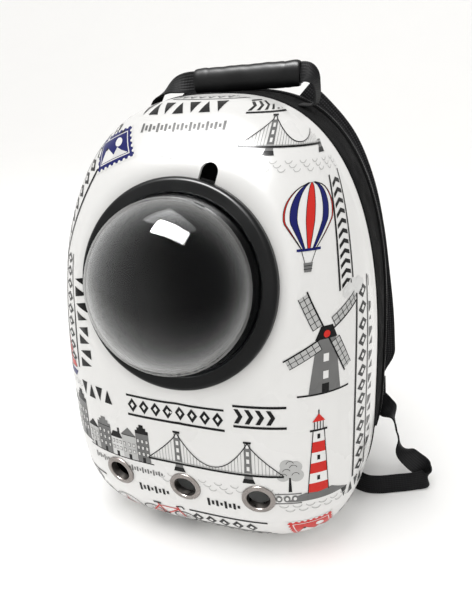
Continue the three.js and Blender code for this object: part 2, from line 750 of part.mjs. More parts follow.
const shoulderStrap = (side) =>
  ribbon(strapStations(side), STRAP_WIDTH, STRAP_THICKNESS, strapTaper, STRAP_CHAMFER);

function strapEnd(side) {
  const stations = strapStations(side);
  const last = stations[stations.length - 1];
  const before = stations[stations.length - 2];
  const along = last.centre.clone().sub(before.centre).normalize();
  return { centre: last.centre, along, across: last.across.clone().normalize() };
}

const onLock = ({ centre, along, across }, u, v, w) =>
  centre
    .clone()
    .addScaledVector(across, u)
    .addScaledVector(along, v)
    .addScaledVector(across.clone().cross(along), w);

// A ladder lock: a flat frame with three bars, hung from the padded strap's end.
function ladderLock(side) {
  const end = strapEnd(side);
  const face = end.across.clone().cross(end.along);
  const place = (geometry, u, v) => {
    geometry.applyMatrix4(new THREE.Matrix4().makeBasis(end.across, end.along, face));
    const centre = onLock(end, u, v, 0);
    geometry.translate(centre.x, centre.y, centre.z);
    return geometry;
  };
  const middle = GAP + LOCK_HEIGHT / 2;
  const frame = place(new THREE.BoxGeometry(LOCK_WIDTH, LOCK_HEIGHT, LOCK_THICKNESS), 0, middle);
  const slotHeight = (LOCK_HEIGHT - 3 * LOCK_BAR) / 2;
  const slotWidth = LOCK_WIDTH - 2 * LOCK_BAR;
  const slots = [-1, 1].map((way) =>
    place(
      new THREE.BoxGeometry(slotWidth, slotHeight, LOCK_THICKNESS * 3),
      0,
      middle + (way * (slotHeight + LOCK_BAR)) / 2,
    ),
  );
  return cut(frame, slots);
}

// Webbing from the ladder lock down, out in a loop that rests on the floor, and back to the gusset's corner.
// Millimetres: how far out past the shell's side, how far behind the gusset's rear edge and how high, with
// the direction of the webbing's width.
const LOOP_ROUTE = [
  { out: -1, back: 19, height: 67, across: [0.6, 0.1, 0.8] },
  { out: 10, back: 14, height: 54, across: [-0.3, 1, 0.05] },
  { out: 17, back: 3, height: 41, across: [-0.3, 1, 0.1] },
  { out: 24, back: -9, height: 30, across: [-0.3, 1, 0.2] },
  { out: 37, back: -19, height: 25, across: [-0.4, 0.8, 0.5] },
  { out: 51, back: -27, height: 20, across: [-0.3, 0.45, 0.9] },
  { out: 54, back: -33, height: 15, across: [0.1, 0.12, 1] },
  { out: 43, back: -39, height: 12.6, across: [0, 0, 1] },
  { out: 23, back: -49, height: 12.4, across: [0, 0, 1] },
  { out: 5, back: -57, height: 12.4, across: [0, 0, 1] },
  { out: -8, back: -59, height: 12.8, across: [0.1, 0, 1] },
];

// The gusset's rounded lower corner at a height: a point, the way up along the skin and the way out of it.
function gussetCorner(side, height, y) {
  const angle = leftAngleAt(height);
  const here = outlinePoint(angle, GUSSET_INSET);
  const above = outlinePoint(leftAngleAt(height + 1), GUSSET_INSET);
  const up = vector(-side * (above.x - here.x), 0, above.z - here.z).normalize();
  const out = vector(side * up.z, 0, -side * up.x);
  return { point: vector(-side * here.x, y, here.z), up, out };
}

function strapWebbing(side) {
  const end = strapEnd(side);
  const face = end.across.clone().cross(end.along);
  const behind = Math.sign(face.y) * (WEBBING_THICKNESS / 2 + LOCK_THICKNESS / 2 + GAP);
  const across = end.across.clone().multiplyScalar(side);
  const onBack = (v) => ({ centre: onLock(end, 0, v, behind), across });
  const onCorner = (y, off) => {
    const { point, up, out } = gussetCorner(side, ANCHOR_HEIGHT + 5, y);
    return { centre: point.addScaledVector(out, WEBBING_THICKNESS / 2 + GAP + off), across: up };
  };
  const route = [
    onBack(LOCK_HEIGHT * 0.35),
    onBack(LOCK_HEIGHT * 0.9),
    ...LOOP_ROUTE.map(({ out, back, height, across: [a, b, c] }) => ({
      centre: vector(side * (SHELL_WIDTH / 2 + out), GUSSET_BACK_Y + back, height),
      across: vector(side * a, b, c),
    })),
    onCorner(GUSSET_FRONT_Y + 12, 4.5),
    onCorner(GUSSET_FRONT_Y + 30, 0.4),
  ];
  return ribbon(stationsAlong(route, WEBBING_STEPS), STRAP_WEBBING_WIDTH, WEBBING_THICKNESS);
}

// Materials and the assembly

const paint = (color, roughness, metalness = 0) =>
  new THREE.MeshStandardMaterial({ color, roughness, metalness });

function piece(name, geometry, material) {
  const mesh = new THREE.Mesh(geometry, material);
  mesh.name = name;
  return mesh;
}

const sliderPaint = () => paint(0x1c1c1e, 0.35, 0.8);

const body = new THREE.Group();
body.add(
  piece("front_shell", frontShell(), paint(0xf2f1ee, 0.25)),
  piece("rim_piping", rimPiping(), paint(0x0d0d0e, 0.6)),
  piece("gusset", gusset(), paint(0x141416, 0.85)),
  piece("zipper_chain", zipperChain(), paint(0x0a0a0a, 0.5)),
  piece("zipper_slider_upper", zipperSlider(SLIDER_LEVEL + SLIDER_SPACING / 2, -1), sliderPaint()),
  piece("zipper_slider_lower", zipperSlider(SLIDER_LEVEL - SLIDER_SPACING / 2, 1), sliderPaint()),
  piece("back_panel", backPanel(), paint(0x131315, 0.85)),
  piece("back_pad", backPad(), paint(0x101012, 0.95)),
);

const handle = new THREE.Group();
handle.add(
  piece("handle_webbing", handleWebbing(), paint(0x0b0b0c, 0.8)),
  piece("handle_grip", handleGrip(), paint(0x242527, 0.5)),
);

const straps = new THREE.Group();
for (const [side, way] of [["left", -1], ["right", 1]]) {
  straps.add(
    piece(`shoulder_strap_${side}`, shoulderStrap(way), paint(0x121214, 0.9)),
    piece(`ladder_lock_${side}`, ladderLock(way), paint(0x0a0a0b, 0.4)),
    piece(`strap_webbing_${side}`, strapWebbing(way), paint(0x0b0b0c, 0.8)),
  );
}

const clearDome = paint(0xe8eeee, 0.05);
clearDome.transparent = true;
clearDome.opacity = 0.35;

const windowParts = new THREE.Group();
windowParts.add(
  piece("window_ring", windowRing(), paint(0x17181a, 0.45)),
  piece("window_dome", windowDome(), clearDome),
  piece("window_collar", windowCollar(), paint(0x101011, 0.6)),
);
windowParts.position.copy(WINDOW_CENTRE);
windowParts.quaternion.setFromRotationMatrix(
  new THREE.Matrix4().makeBasis(WINDOW_RIGHT, WINDOW_UP, WINDOW_AXIS),
);

const eyelets = new THREE.Group();
for (const place of eyeletPlaces) {
  const mesh = piece(`eyelet_${place.side}`, eyelet(), paint(0x6f6a64, 0.3, 0.9));
  const out = vector(0, 0, 1).applyQuaternion(place.turn);
  mesh.quaternion.copy(place.turn);
  mesh.position.copy(place.centre).addScaledVector(out, seatDrop(place, EYELET_HOLE_RADIUS) + GAP);
  eyelets.add(mesh);
}

const carrier = new THREE.Group();
carrier.add(body, handle, straps, windowParts, eyelets);

export default carrier;
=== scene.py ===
"""Looks of the bubble pet carrier backpack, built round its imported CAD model. Lengths are in millimetres
inside the helper functions and become metres when a mesh is made."""

import json
import math
import random

import bmesh
import bpy
import numpy as np
from mathutils import Matrix, Vector


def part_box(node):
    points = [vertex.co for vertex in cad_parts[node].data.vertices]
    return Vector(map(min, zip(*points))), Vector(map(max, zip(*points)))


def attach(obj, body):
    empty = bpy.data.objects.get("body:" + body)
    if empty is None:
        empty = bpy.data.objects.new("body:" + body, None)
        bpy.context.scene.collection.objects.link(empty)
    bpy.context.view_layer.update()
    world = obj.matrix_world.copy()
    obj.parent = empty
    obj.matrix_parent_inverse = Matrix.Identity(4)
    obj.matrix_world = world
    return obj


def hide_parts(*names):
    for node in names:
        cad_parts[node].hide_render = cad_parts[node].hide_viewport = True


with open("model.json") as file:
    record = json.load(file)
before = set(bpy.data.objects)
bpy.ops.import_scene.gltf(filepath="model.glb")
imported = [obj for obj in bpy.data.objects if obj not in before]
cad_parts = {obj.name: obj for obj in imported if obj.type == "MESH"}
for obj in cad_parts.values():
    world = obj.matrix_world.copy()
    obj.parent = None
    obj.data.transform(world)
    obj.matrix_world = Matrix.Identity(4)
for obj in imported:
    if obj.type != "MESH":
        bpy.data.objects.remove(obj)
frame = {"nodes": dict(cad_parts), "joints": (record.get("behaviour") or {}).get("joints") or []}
scene = bpy.context.scene
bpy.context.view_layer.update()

# Sizes that the CAD model gives

SHELL_HIGH = np.array(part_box("front_shell")[1]) * 1000
SHELL_HALF = SHELL_HIGH[0]
SHELL_HEIGHT = SHELL_HIGH[2]
RIM_Y = SHELL_HIGH[1]
GUSSET_FRONT, GUSSET_BACK = (corner[1] * 1000 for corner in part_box("gusset"))
PANEL_FRONT, PANEL_BACK = (corner[1] * 1000 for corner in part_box("back_panel"))
PAD_LOW, PAD_HIGH = [np.array(corner) * 1000 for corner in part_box("back_pad")]
HINGE = frame["joints"][0]
AXIS = np.array(HINGE["axis"]) / np.linalg.norm(HINGE["axis"])
CENTRE = np.array(HINGE["pos_m"]) * 1000
RIGHT = np.array([1.0, 0.0, 0.0])
UP = np.cross(AXIS, RIGHT)
GAP = 0.3

# The shell's form, as in the part

WIDEST = 141.0
BASE_CUT = 8.0
TOP_SQUARE = 2.71
LOW_SQUARE = 3.67
SHELL_DEPTH = 131.0
SIDE_FULL = 3.05
TOP_FULL = 1.38
LOW_FULL = 3.4
CROWN_FULL = 3.16
WALL = 3.0
SEAT = 93.0
SEAT_BLEND = 116.0
SEAT_HOLE = 86.5
RING = 90.0
RING_BORE = 76.8
SLEEVE = 81.8
DOME_RADIUS = 76.5
DOME_HEIGHT = 61.5
DOME_FULLNESS = 2.7
DOME_SKIRT = 8.0
DOME_WALL = 2.0
NOTCH_ANGLE = math.radians(75)
NOTCH_HALF = 7.75
NOTCH_REACH = 105.5
EYELET_SPACING = 71.0
EYELET_Z = 80.5
EYELET_BORE = 10.75
EYELET_HOLE = 12.25
EYELET_RADIUS = 15.5
PIPING_Y = 52.8
HANDLE_Y = 81.85
GUSSET_INSET = 1.5
PIPING_RADIUS = 2.5
RING_HEIGHT = 9.5
SLEEVE_END = -11.0
LUG_COUNT = 3
LUG_HALF_TURN = 10
LUG_SECTION = ((79.3, -7.5), (85.8, -7.5), (85.8, -9.9), (79.3, -9.9))
EYELET_END = -6.3
ZIP_MARGIN = 4.5
ZIP_HALF = 3.5
WEBBING_THICKNESS = 1.8
HANDLE_WEBBING_WIDTH = 19.0
STRAP_WEBBING_WIDTH = 23.0

# How finely the larger pieces are divided

SHELL_ANGLES = 252
SHELL_ROWS = 40
LINING_ROWS = 20
GUSSET_ANGLES = 320
PIPING_ANGLES = 280
ZIP_ANGLES = 460
PANEL_ANGLES = 220

# The camera that was fitted to the photograph

CAMERA_PLACE = (225.81, -498.31, 453.61)
CAMERA_AZIMUTH = 21.59
CAMERA_ELEVATION = 21.75
CAMERA_ROLL = -2.80
CAMERA_FOCUS = 618.7
PHOTO_WIDTH = 472
PHOTO_HEIGHT = 600
SENSOR_HEIGHT = 36.0
WINDOW_GLINT = (171, 230)


def unit(v):
    v = np.asarray(v, float)
    return v / np.linalg.norm(v, axis=-1, keepdims=True)


def smooth(share):
    share = np.clip(share, 0, 1)
    return share * share * (3 - 2 * share)


def outline(angle, inset=0.0, floor=-1e9):
    """Points of the shell's outline as x and z, pulled in by inset and kept above floor."""
    angle = np.asarray(angle, float)
    c, s = np.cos(angle), np.sin(angle)
    power = np.where(s >= 0, TOP_SQUARE, LOW_SQUARE)
    reach = np.where(s >= 0, SHELL_HEIGHT - WIDEST, WIDEST + BASE_CUT)
    radius = (np.abs(c) ** power + np.abs(s) ** power) ** (-1 / power)
    z = WIDEST + (reach - inset) * radius * s
    return (SHELL_HALF - inset) * radius * c, np.maximum(z, floor)


def outline_angles(count):
    """Angles that share the outline out into equal lengths, and the outline's whole length."""
    fine = np.linspace(-math.pi / 2, 1.5 * math.pi, 4001)
    x, z = outline(fine)
    length = np.concatenate([[0], np.cumsum(np.hypot(np.diff(x), np.diff(z)))])
    return np.interp(np.arange(count) / count * length[-1], length, fine), length[-1]


def shell_depth(x, z, inset=0.0):
    above = z >= WIDEST
    power = np.where(above, TOP_SQUARE, LOW_SQUARE)
    reach = np.where(above, SHELL_HEIGHT - WIDEST, WIDEST + BASE_CUT) - inset
    across = np.abs(x) / (SHELL_HALF - inset)
    up = np.abs(z - WIDEST) / reach
    share = np.minimum(1, (across**power + up**power) ** (1 / power))
    upright = up**2 / (across**2 + up**2 + 1e-9)
    fullness = SIDE_FULL + (np.where(above, TOP_FULL, LOW_FULL) - SIDE_FULL) * upright
    return (SHELL_DEPTH - inset) * (1 - share**fullness) ** (1 / CROWN_FULL)


def skin(x, z, inset=0.0):
    """Points on the shell's outer skin, or inset below it: the round form with the window's flat seat."""
    x, z = np.broadcast_arrays(np.asarray(x, float), np.asarray(z, float))
    point = np.stack([x, RIM_Y - shell_depth(x, z, inset), z], -1)
    offset = point - CENTRE + AXIS * inset
    height = offset @ AXIS
    radius = np.sqrt(np.maximum(0, (offset**2).sum(-1) - height**2))
    keep = smooth((radius - SEAT) / (SEAT_BLEND - SEAT))
    point = point - (height * (1 - keep))[..., None] * AXIS
    point[..., 2] = np.maximum(point[..., 2], inset)
    return point


def skin_normal(x, z, step=0.6):
    across = skin(x + step, z) - skin(x - step, z)
    up = skin(x, z + step) - skin(x, z - step)
    normal = np.cross(across, up)
    return normal / np.maximum(1e-9, np.linalg.norm(normal, axis=-1, keepdims=True))


# Meshes


def mesh_object(name, points, faces, material, body="carrier", uvs=None, flat=False):
    """A new piece from points in millimetres, riding on a body."""
    mesh = bpy.data.meshes.new(name)
    mesh.from_pydata((np.asarray(points, float) * 0.001).tolist(), [], faces)
    if uvs is not None:
        layer = mesh.uv_layers.new(name="surface")
        layer.data.foreach_set("uv", np.asarray(uvs, np.float32).ravel())
    mesh.validate()
    for polygon in mesh.polygons:
        polygon.use_smooth = not flat
    obj = bpy.data.objects.new(name, mesh)
    scene.collection.objects.link(obj)
    for one in material if isinstance(material, (list, tuple)) else [material]:
        mesh.materials.append(one)
    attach(obj, body)
    return obj


def grid(rows, closed_rows=False):
    """Points, faces and UV corners in metres, from rows of points that each close on themselves. The first
    and last row get an end face, unless the rows close in a ring too."""
    rows = np.asarray(rows, float)
    count, width = rows.shape[:2]
    girth = np.linalg.norm(np.diff(rows, axis=1, append=rows[:, :1]), axis=2).max(0)
    length = np.linalg.norm(np.diff(rows, axis=0, append=rows[:1]), axis=2).max(1)
    u = np.concatenate([[0], np.cumsum(length)]) * 0.001
    v = np.concatenate([[0], np.cumsum(girth)]) * 0.001
    faces, uvs = [], []
    for i in range(count if closed_rows else count - 1):
        a, b = i * width, ((i + 1) % count) * width
        for j in range(width):
            k = (j + 1) % width
            faces.append((a + j, a + k, b + k, b + j))
            uvs += [(u[i], v[j]), (u[i], v[j + 1]), (u[i + 1], v[j + 1]), (u[i + 1], v[j])]
    if not closed_rows:
        last = (count - 1) * width
        faces.append(tuple(reversed(range(width))))
        faces.append(tuple(range(last, last + width)))
        uvs += [(0, 0)] * (2 * width)
    return rows.reshape(-1, 3), faces, uvs


def outward(points, faces):
    """True where the faces' signed volume is positive."""
    volume = 0.0
    for face in faces:
        first = points[face[0]]
        for at in range(1, len(face) - 1):
            volume += float(np.dot(first, np.cross(points[face[at]], points[face[at + 1]])))
    return volume > 0


def loft(name, rows, material, body="carrier", closed_rows=False, crease=0):
    """A piece through closed rows of points; edges sharper than crease, in degrees, stay sharp."""
    points, faces, uvs = grid(rows, closed_rows)
    obj = mesh_object(name, points, faces, material, body, uvs)
    if not outward(points, faces):
        obj.data.flip_normals()
    if crease:
        obj.data.set_sharp_from_angle(angle=math.radians(crease))
    return obj


def face_outwards(mesh, merge=0.0):
    """Turns all faces outwards, after joining the points that lie within merge metres."""
    bm = bmesh.new()
    bm.from_mesh(mesh)
    if merge:
        bmesh.ops.remove_doubles(bm, verts=bm.verts, dist=merge)
    bmesh.ops.recalc_face_normals(bm, faces=bm.faces)
    bm.to_mesh(mesh)
    bm.free()


def lathe(name, profile, material, body="window", steps=160, crease=35, axes=None):
    """A turned piece from [radius, height] pairs about an axis; the window's by default."""
    origin, x_way, y_way, z_way = axes or (CENTRE, RIGHT, UP, AXIS)
    turn = np.arange(steps) * 2 * math.pi / steps
    rows = [
        [origin + r * math.cos(t) * x_way + r * math.sin(t) * y_way + h * z_way for r, h in profile]
        for t in turn
    ]
    points, faces, uvs = grid(rows, True)
    obj = mesh_object(name, points, faces, material, body, uvs)
    face_outwards(obj.data, merge=1e-6)
    obj.data.set_sharp_from_angle(angle=math.radians(crease))
    return obj


def arc(centre, height, radius, start, end, steps):
    """Profile points on an arc, its angles in degrees from straight outwards."""
    turns = np.radians(np.linspace(start, end, steps + 1))
    return [[centre + radius * math.cos(t), height + radius * math.sin(t)] for t in turns]


def bezel_box(name, centre, ways, size, material, bevel=0.9):
    """A box with rounded edges, its size along three ways."""
    bm = bmesh.new()
    bmesh.ops.create_cube(bm, size=1)
    for v in bm.verts:
        local = [v.co[i] * size[i] for i in range(3)]
        v.co = Vector(np.asarray(centre) + sum(local[i] * np.asarray(ways[i]) for i in range(3)))
    bmesh.ops.bevel(bm, geom=bm.edges[:], offset=bevel, segments=3, affect="EDGES", profile=0.5)
    bmesh.ops.recalc_face_normals(bm, faces=bm.faces)
    points = np.array([v.co[:] for v in bm.verts])
    faces = [tuple(v.index for v in f.verts) for f in bm.faces]
    bm.free()
    obj = mesh_object(name, points, faces, material)
    obj.data.set_sharp_from_angle(angle=math.radians(50))
    return obj


def joined(name, objects):
    """Several pieces as one."""
    bpy.ops.object.select_all(action="DESELECT")
    for obj in objects:
        obj.select_set(True)
    bpy.context.view_layer.objects.active = objects[0]
    bpy.ops.object.join()
    objects[0].name = name
    return objects[0]


# Curves, as the part's library draws them


def catmull(points, share):
    """A point of the centripetal Catmull-Rom curve through points, at a share of its legs."""
    count = len(points)
    place = (count - 1) * share
    leg = int(math.floor(place))
    weight = place - leg
    if weight == 0 and leg == count - 1:
        leg, weight = count - 2, 1.0
    p1, p2 = points[leg], points[leg + 1]
    p0 = points[leg - 1] if leg > 0 else points[0] * 2 - points[1]
    p3 = points[leg + 2] if leg + 2 < count else points[-1] * 2 - points[-2]
    dt = [max(1e-4, float(((b - a) ** 2).sum()) ** 0.25) for a, b in ((p0, p1), (p1, p2), (p2, p3))]
    t1 = (p1 - p0) / dt[0] - (p2 - p0) / (dt[0] + dt[1]) + (p2 - p1) / dt[1]
    t2 = (p2 - p1) / dt[1] - (p3 - p1) / (dt[1] + dt[2]) + (p3 - p2) / dt[2]
    t1, t2 = t1 * dt[1], t2 * dt[1]
    c2 = -3 * p1 + 3 * p2 - 2 * t1 - t2
    c3 = 2 * p1 - 2 * p2 + t1 + t2
    return p1 + t1 * weight + c2 * weight**2 + c3 * weight**3


def stations(route, steps):
    """Points, ways across and ways up of a band whose route is a list of (centre, way across)."""
    centres = [np.array(c, float) for c, _ in route]
    acrosses = [np.array(a, float) for _, a in route]
    found = []
    for step in range(steps + 1):
        share = step / steps
        place = share * (len(route) - 1)
        leg = min(len(route) - 2, int(place))
        across = unit(acrosses[leg] * (1 - place + leg) + acrosses[leg + 1] * (place - leg))
        found.append((catmull(centres, share), across))
    points = np.array([c for c, _ in found])
    along = np.empty_like(points)
    along[1:-1] = points[2:] - points[:-2]
    along[0] = points[1] - points[0]
    along[-1] = points[-1] - points[-2]
    along = unit(along)
    across = np.array([a for _, a in found])
    side = unit(across - (across * along).sum(1)[:, None] * along)
    return points, side, np.cross(along, side)


def band(name, route, width, thickness, material, steps=120, taper=None, section=None, crease=0):
    """A strap or webbing along a route, with a rounded section of (share across, share high) pairs."""
    points, side, face = stations(route, steps)
    if section is None:
        section = rounded_section(0.35 * thickness / width, 0.35)
    rows = []
    for at in range(steps + 1):
        half = width / 2 * (taper(at / steps) if taper else 1)
        rows.append([points[at] + side[at] * u * half + face[at] * v * thickness / 2 for u, v in section])
    return loft(name, rows, material, crease=crease)


def rounded_section(corner_u, corner_v, steps=3, across=10):
    """A rectangle of half sizes 1 with round corners, with points across its broad faces."""
    quarter = [math.pi / 2 * k / steps for k in range(steps + 1)]
    flat_u, flat_v = 1 - corner_u, 1 - corner_v
    right = [(flat_u + corner_u * math.cos(t), flat_v + corner_v * math.sin(t)) for t in quarter]
    top = [(1 - corner_u - (2 - 2 * corner_u) * k / across, 1.0) for k in range(1, across)]
    upper = right + top + [(-u, v) for u, v in reversed(right)]
    return upper + [(u, -v) for u, v in reversed(upper)]


# Materials


class Paint:
    """A material with a Principled shader and small procedural additions."""

    def __init__(self, name, color, roughness, **sockets):
        self.material = bpy.data.materials.new(name)
        self.material.use_nodes = True
        self.nodes = self.material.node_tree.nodes
        self.links = self.material.node_tree.links
        self.shader = self.nodes["Principled BSDF"]
        self.shader.inputs["Base Color"].default_value = (*color, 1)
        self.shader.inputs["Roughness"].default_value = roughness
        for socket, value in sockets.items():
            self.shader.inputs[socket.replace("_", " ")].default_value = value
        self.coords = self.nodes.new("ShaderNodeTexCoord")
        self.normal = None

    def node(self, kind, **settings):
        made = self.nodes.new(kind)
        for key, value in settings.items():
            setattr(made, key, value)
        return made

    def noise(self, scale, detail=3.0, stretch=None):
        texture = self.node("ShaderNodeTexNoise")
        texture.inputs["Scale"].default_value = scale
        texture.inputs["Detail"].default_value = detail
        source = self.coords.outputs["Object"]
        if stretch:
            mapping = self.node("ShaderNodeMapping")
            mapping.inputs["Scale"].default_value = stretch
            self.links.new(source, mapping.inputs["Vector"])
            source = mapping.outputs["Vector"]
        self.links.new(source, texture.inputs["Vector"])
        return texture.outputs["Fac"]

    def wave(self, period, way):
        """Even ribs along the UV's length or width, a rib each period in metres."""
        texture = self.node("ShaderNodeTexWave", wave_type="BANDS", bands_direction=way)
        texture.inputs["Scale"].default_value = 2 * math.pi / 20 / period
        self.links.new(self.coords.outputs["UV"], texture.inputs["Vector"])
        return texture.outputs["Fac"]

    def maths(self, kind, a, b):
        node = self.node("ShaderNodeMath", operation=kind)
        for socket, value in zip(node.inputs, (a, b)):
            if isinstance(value, (int, float)):
                socket.default_value = value
            else:
                self.links.new(value, socket)
        return node.outputs[0]

    def spread(self, factor, low, high, start=0.3, end=0.7):
        """A number from low to high while the factor goes from start to end."""
        span = self.node("ShaderNodeMapRange")
        for socket, value in (("From Min", start), ("From Max", end), ("To Min", low), ("To Max", high)):
            span.inputs[socket].default_value = value
        self.links.new(factor, span.inputs["Value"])
        return span.outputs["Result"]

    def vary(self, socket, factor, low, high):
        """Sets a number or a colour of the shader from a factor, between two ends."""
        if isinstance(low, tuple):
            mix = self.node("ShaderNodeMix", data_type="RGBA")
            mix.inputs[6].default_value = (*low, 1)
            mix.inputs[7].default_value = (*high, 1)
            self.links.new(factor, mix.inputs[0])
            self.links.new(mix.outputs[2], self.shader.inputs[socket])
        else:
            self.links.new(self.spread(factor, low, high), self.shader.inputs[socket])

    def bump(self, height, strength, distance=0.0004):
        node = self.node("ShaderNodeBump")
        node.inputs["Strength"].default_value = strength
        node.inputs["Distance"].default_value = distance
        self.links.new(height, node.inputs["Height"])
        if self.normal:
            self.links.new(self.normal, node.inputs["Normal"])
        self.normal = node.outputs["Normal"]
        self.links.new(self.normal, self.shader.inputs["Normal"])


def gloss_paint(name, color, second, coat=0.22, specular=0.28):
    """Glossy moulded plastic or ink under a thin coat, between two close colours."""
    paint = Paint(name, color, 0.3, Coat_Weight=coat, Coat_Roughness=0.06, Specular_IOR_Level=specular)
    paint.vary("Base Color", paint.noise(35, 5), color, second)
    paint.vary("Roughness", paint.noise(9, 4), 0.24, 0.36)
    paint.bump(paint.noise(14, 2), 0.25, 0.0006)
    return paint.material


def cloth_paint(name, color, light, thread, depth=0.00035):
    """Woven cloth: threads both ways by the UV, with soft blotches."""
    paint = Paint(name, color, 0.85, Sheen_Weight=0.008, Sheen_Roughness=0.5, Specular_IOR_Level=0.04)
    weave = paint.maths("MULTIPLY", paint.wave(thread, "X"), paint.wave(thread, "Y"))
    paint.vary("Base Color", weave, color, light)
    paint.vary("Roughness", paint.noise(60), 0.72, 0.95)
    paint.bump(paint.noise(45, 4), 0.5, 0.0012)
    paint.bump(weave, 0.7, depth)
    return paint.material


def webbing_paint(name, color, light):
    """Ribbed webbing: fine ribs across its width and fine cords along it."""
    paint = Paint(name, color, 0.55, Sheen_Weight=0.01, Sheen_Roughness=0.4, Specular_IOR_Level=0.07)
    ribs = paint.maths("ADD", paint.wave(0.0018, "X"), paint.wave(0.0026, "Y"))
    paint.vary("Base Color", paint.maths("MULTIPLY", ribs, 0.5), color, light)
    paint.bump(ribs, 0.6, 0.0003)
    return paint.material


def plastic_paint(name, color, low, high, grain=900, strength=0.15, mirror=0.2):
    """Moulded plastic with a fine grain, its roughness between low and high."""
    paint = Paint(name, color, low, Specular_IOR_Level=mirror)
    paint.vary("Roughness", paint.noise(30, 5), low, high)
    paint.bump(paint.noise(grain, 2), strength, 0.0001)
    return paint.material


def metal_paint(name, color, light):
    paint = Paint(name, color, 0.3, Metallic=1.0)
    paint.vary("Base Color", paint.noise(90, 5), color, light)
    paint.vary("Roughness", paint.noise(160, 4), 0.22, 0.42)
    return paint.material


def clear_paint(name):
    """Thin clear plastic: see-through, with the mirror of its skin growing towards its edge."""
    paint = Paint(name, (0.95, 0.96, 0.96), 0.05)
    paint.nodes.remove(paint.shader)
    facing = paint.node("ShaderNodeLayerWeight")
    facing.inputs["Blend"].default_value = 0.5
    edge = paint.maths("POWER", facing.outputs["Facing"], 2.0)
    share = paint.maths("ADD", paint.maths("MULTIPLY", edge, 0.6), 0.004)
    through = paint.node("ShaderNodeBsdfTransparent")
    through.inputs["Color"].default_value = (0.93, 0.94, 0.94, 1)
    mirror = paint.node("ShaderNodeBsdfGlossy")
    mirror.inputs["Color"].default_value = (0.96, 0.96, 0.96, 1)
    mix = paint.node("ShaderNodeMixShader")
    paint.links.new(share, mix.inputs[0])
    paint.links.new(through.outputs[0], mix.inputs[1])
    paint.links.new(mirror.outputs[0], mix.inputs[2])
    scratches = paint.noise(26, 6, stretch=(1, 9, 2))
    paint.links.new(paint.spread(scratches, 0.012, 0.06, 0.55, 0.75), mirror.inputs["Roughness"])
    paint.links.new(mix.outputs[0], paint.nodes["Material Output"].inputs["Surface"])
    return paint.material


WHITES = ((0.665, 0.66, 0.648), (0.645, 0.64, 0.628))
SHELL_WHITE = gloss_paint("shell_white", *WHITES)
INKS = {
    "black": gloss_paint("ink_black", (0.002, 0.002, 0.0022), (0.005, 0.005, 0.0055), 0.08, 0.1),
    "grey": gloss_paint("ink_grey", (0.1, 0.1, 0.1), (0.16, 0.16, 0.157), 0.1, 0.14),
    "silver": gloss_paint("ink_silver", (0.36, 0.36, 0.355), (0.43, 0.43, 0.42)),
    "pale": gloss_paint("ink_pale", (0.54, 0.54, 0.535), (0.59, 0.59, 0.58)),
    "red": gloss_paint("ink_red", (0.47, 0.012, 0.008), (0.54, 0.022, 0.015), 0.1, 0.12),
    "navy": gloss_paint("ink_navy", (0.003, 0.005, 0.085), (0.007, 0.01, 0.115), 0.08, 0.1),
    "white": gloss_paint("ink_white", *WHITES),
}
INSIDE_BLACK = cloth_paint("shell_inside", (0.002, 0.002, 0.0022), (0.004, 0.004, 0.0045), 0.0012)
GUSSET_CLOTH = cloth_paint("gusset_cloth", (0.003, 0.003, 0.0032), (0.011, 0.011, 0.0115), 0.0011)
PANEL_CLOTH = cloth_paint("panel_cloth", (0.009, 0.009, 0.01), (0.024, 0.024, 0.026), 0.0011)
MESH_CLOTH = cloth_paint("spacer_mesh", (0.009, 0.009, 0.0095), (0.045, 0.045, 0.048), 0.0026, 0.0009)
PIPING_CLOTH = cloth_paint("piping_cloth", (0.003, 0.003, 0.0033), (0.009, 0.009, 0.0095), 0.0008)
WEBBING = webbing_paint("webbing_black", (0.0025, 0.0025, 0.0028), (0.012, 0.012, 0.013))
ZIP_PLASTIC = plastic_paint("zip_plastic", (0.007, 0.007, 0.0075), 0.3, 0.5)
RING_PLASTIC = plastic_paint("ring_plastic", (0.002, 0.0022, 0.0024), 0.27, 0.38, 1300, 0.1, 0.16)
BUCKLE_PLASTIC = plastic_paint("buckle_plastic", (0.008, 0.008, 0.0085), 0.3, 0.45)
GRIP_SKIN = plastic_paint("grip_skin", (0.0025, 0.0026, 0.0028), 0.32, 0.46, 420, 0.35, 0.16)
SLIDER_METAL = metal_paint("slider_metal", (0.05, 0.05, 0.055), (0.09, 0.09, 0.095))
EYELET_METAL = metal_paint("eyelet_metal", (0.17, 0.155, 0.145), (0.3, 0.275, 0.26))
DOME_CLEAR = clear_paint("dome_clear")

# Shell

ROW_CROWDING = 2.2  # how much closer the rows lie at the rim
NOTCH_ALONG = math.cos(NOTCH_ANGLE) * RIGHT + math.sin(NOTCH_ANGLE) * UP
NOTCH_ACROSS = np.cross(AXIS, NOTCH_ALONG)


def shell_rows(angles, inset, steps):
    """Lines of points from the window's hole out to the rim."""
    x, z = outline(angles, inset)
    tilt = math.acos(min(1, -AXIS[1]))
    turn = np.arctan2((z - CENTRE[2]) / math.cos(tilt), x)
    ring = np.cos(turn)[:, None] * RIGHT + np.sin(turn)[:, None] * UP
    rows = [CENTRE + radius * ring - AXIS * inset for radius in (SEAT_HOLE, (SEAT_HOLE + SEAT) / 2, SEAT)]
    edge_x, edge_z = rows[-1][:, 0], rows[-1][:, 2]
    for step in range(1, steps + 1):
        share = 1 - (1 - step / steps) ** ROW_CROWDING
        rows.append(skin(edge_x + (x - edge_x) * share, edge_z + (z - edge_z) * share, inset))
    return np.stack(rows, 1)


def eyelet_frame(index):
    """An eyelet's centre on the skin, its two ways across and its axis."""
    x = (index - 1) * EYELET_SPACING
    centre = skin(x, EYELET_Z)
    normal = skin_normal(x, EYELET_Z)
    x_way = unit(np.cross([0.0, 0.0, 1.0], normal))
    return centre, x_way, np.cross(normal, x_way), normal


EYELETS = [eyelet_frame(index) for index in range(3)]


